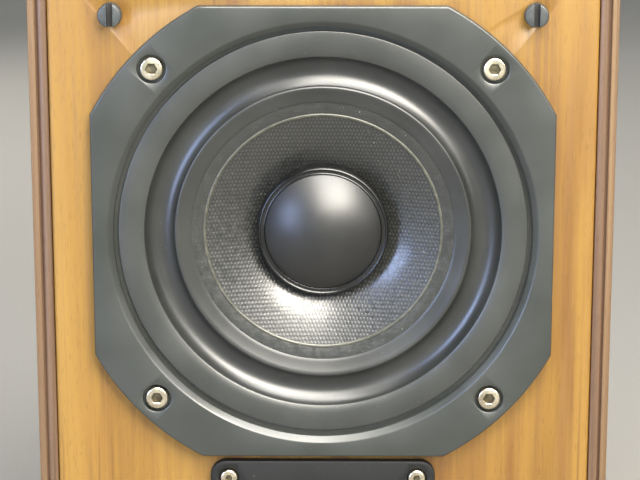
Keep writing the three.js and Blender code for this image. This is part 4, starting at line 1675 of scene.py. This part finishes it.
@dataclass
class Inside:
    """The parts inside that keep their own shapes and get their finishes here."""

    looks: dict[str, Finish] = field(
        default_factory=lambda: {
            "shelf_brace": BOARD,
            "woofer_gasket": FOAM,
            "voice_coil_former": RESIN_CLOTH,
            "voice_coil": COIL_WIRE,
            "woofer_top_plate": MAGNET_STEEL,
            "woofer_magnet": FERRITE,
            "woofer_yoke": MAGNET_STEEL,
            "woofer_terminal_strip": GREY_PLASTIC,
            "tweeter_voice_coil": COIL_WIRE,
            "tweeter_top_plate": MAGNET_STEEL,
            "tweeter_magnet": FERRITE,
            "tweeter_yoke": MAGNET_STEEL,
            "crossover_board": LAMINATE,
            "crossover_inductor": INDUCTOR_WIRE,
            "crossover_capacitor": GREY_PLASTIC,
            "crossover_resistor": CERAMIC,
            "input_lead": RED_PLASTIC,
            "woofer_lead": RED_PLASTIC,
            "tweeter_lead": NUT_PLASTIC,
        }
    )
    edge: float = 0.35  # how far their sharp edges are eased, in mm

    def build(self) -> list[bpy.types.Object]:
        """Dress the parts.

        Returns:
            The parts.
        """
        pieces = []
        for name, finish in self.looks.items():
            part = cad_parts[name]
            for slot in part.material_slots:
                slot.link = "OBJECT"
                slot.material = finish.material()
            if "lead" not in name and "voice_coil" not in name:
                ease_edges(part, self.edge)
            pieces.append(part)
        return pieces


@dataclass
class Studio:
    """The floor, the lights and the camera."""

    aim: tuple[float, float, float] = (-1.1, -125.0, 237.6)
    distance: float = 827.0
    azimuth: float = 0.5
    elevation: float = 13.17
    lens: float = 125.5

    def floor(self) -> bpy.types.Object:
        """Make a pale floor that curves up into a wall far behind.

        Returns:
            The floor.
        """
        shape = bmesh.new()
        path = [(-6000.0, 0.0), (2600.0, 0.0)]
        path += [
            (2600 + 900 * math.sin(i * math.pi / 24), 900 * (1 - math.cos(i * math.pi / 24)))
            for i in range(1, 13)
        ]
        path.append((3500.0, 5000.0))
        rows = [[shape.verts.new(Vector((x, y, z)) * MM) for y, z in path] for x in (-6000.0, 6000.0)]
        for i in range(len(path) - 1):
            shape.faces.new((rows[0][i], rows[1][i], rows[1][i + 1], rows[0][i + 1]))
        made = bpy.data.objects.new("floor", as_mesh("floor", shape))
        made.data.materials.append(STUDIO_FLOOR.material())
        bpy.context.scene.collection.objects.link(made)
        return made

    def light(
        self,
        name: str,
        direction: tuple[float, float, float],
        away: float,
        size: Point,
        power: float,
        colour: str,
        gloss_only: bool = False,
    ) -> None:
        """Add one soft area light that faces the woofer.

        Args:
            name: the light's name.
            direction: the direction from the woofer to the light.
            away: its distance, in metres.
            size: its width and height, in metres.
            power: its power, in watts.
            colour: its colour.
            gloss_only: whether it is a reflector card, which shows in gloss and adds no light of its own.
        """
        lamp = bpy.data.lights.new(name, "AREA")
        lamp.shape, lamp.size, lamp.size_y, lamp.energy = "RECTANGLE", size[0], size[1], power
        lamp.color = linear(colour)[:3]
        holder = bpy.data.objects.new(name, lamp)
        towards = Vector(direction).normalized()
        holder.location = Vector((0.0, -0.13, 0.24)) + towards * away
        holder.rotation_euler = (-towards).to_track_quat("-Z", "Y").to_euler()
        holder.visible_camera = False
        holder.visible_diffuse = not gloss_only
        bpy.context.scene.collection.objects.link(holder)

    def build(self) -> None:
        """Make the floor, the lights, the sky and the camera."""
        self.floor()
        self.light("front_lamp", (0.36, -0.79, 0.47), 1.8, (0.5, 0.34), 12.0, "#fff3e2")
        self.light("ceiling_light", (0.14, -0.50, 0.85), 1.4, (0.9, 0.75), 22.0, "#fffaf2")
        self.light("left_window", (-0.70, -0.70, 0.13), 1.5, (0.4, 0.6), 6.0, "#c3d6ff")
        self.light("right_window", (0.78, -0.60, 0.17), 1.5, (0.5, 0.6), 3.5, "#f3f1ee")
        self.light("back_light", (-0.35, 0.85, 0.45), 2.0, (1.6, 1.2), 12.0, "#fff8ee")
        self.light("top_card", (0.12, -0.26, 0.95), 1.3, (1.1, 0.9), 50.0, "#fffdf6", True)
        self.light("lamp_card", (0.28, -0.77, 0.57), 1.8, (1.35, 1.0), 132.0, "#fffaf0", True)
        self.light("left_card", (-0.66, -0.72, 0.20), 1.5, (0.4, 0.8), 17.0, "#b4caff", True)
        self.light("front_card", (0.0, -0.97, -0.18), 1.6, (1.7, 0.8), 6.0, "#f2fff6", True)
        world = bpy.data.worlds.new("studio")
        world.use_nodes = True
        sky = world.node_tree.nodes["Background"]
        sky.inputs["Color"].default_value = linear("#e4ebf2")
        sky.inputs["Strength"].default_value = 0.32
        bpy.context.scene.world = world
        # The plain transform keeps the gloss bright and the wood warm.
        bpy.context.scene.view_settings.view_transform = "Standard"

        camera = bpy.data.cameras.new("camera")
        camera.lens, camera.sensor_width = self.lens, 36.0
        camera.clip_start, camera.clip_end = 0.01, 50.0
        holder = bpy.data.objects.new("camera", camera)
        a, e = math.radians(self.azimuth), math.radians(self.elevation)
        ahead = Vector((-math.sin(a) * math.cos(e), math.cos(a) * math.cos(e), -math.sin(e)))
        holder.location = (Vector(self.aim) - ahead * self.distance) * MM
        holder.rotation_euler = ahead.to_track_quat("-Z", "Y").to_euler()
        bpy.context.scene.collection.objects.link(holder)
        bpy.context.scene.camera = holder


def main() -> None:
    """Build the speaker and its studio."""
    logging.basicConfig(level=logging.INFO, format="%(message)s")
    Studio().build()
    woofer, tweeter, rear, pegs = Woofer(), Tweeter(), Rear(), GrillePegs()
    pieces = [
        *Cabinet().build(woofer, tweeter, rear, pegs),
        *woofer.build(),
        *tweeter.build(),
        *pegs.build(),
        *rear.build(),
        *Inside().build(),
    ]
    for piece in pieces:
        LOG.info(
            "%s: %d faces, %s", piece.name, len(piece.data.polygons), piece.material_slots[0].material.name
        )
    bpy.context.view_layer.update()


if __name__ == "__main__":
    main()
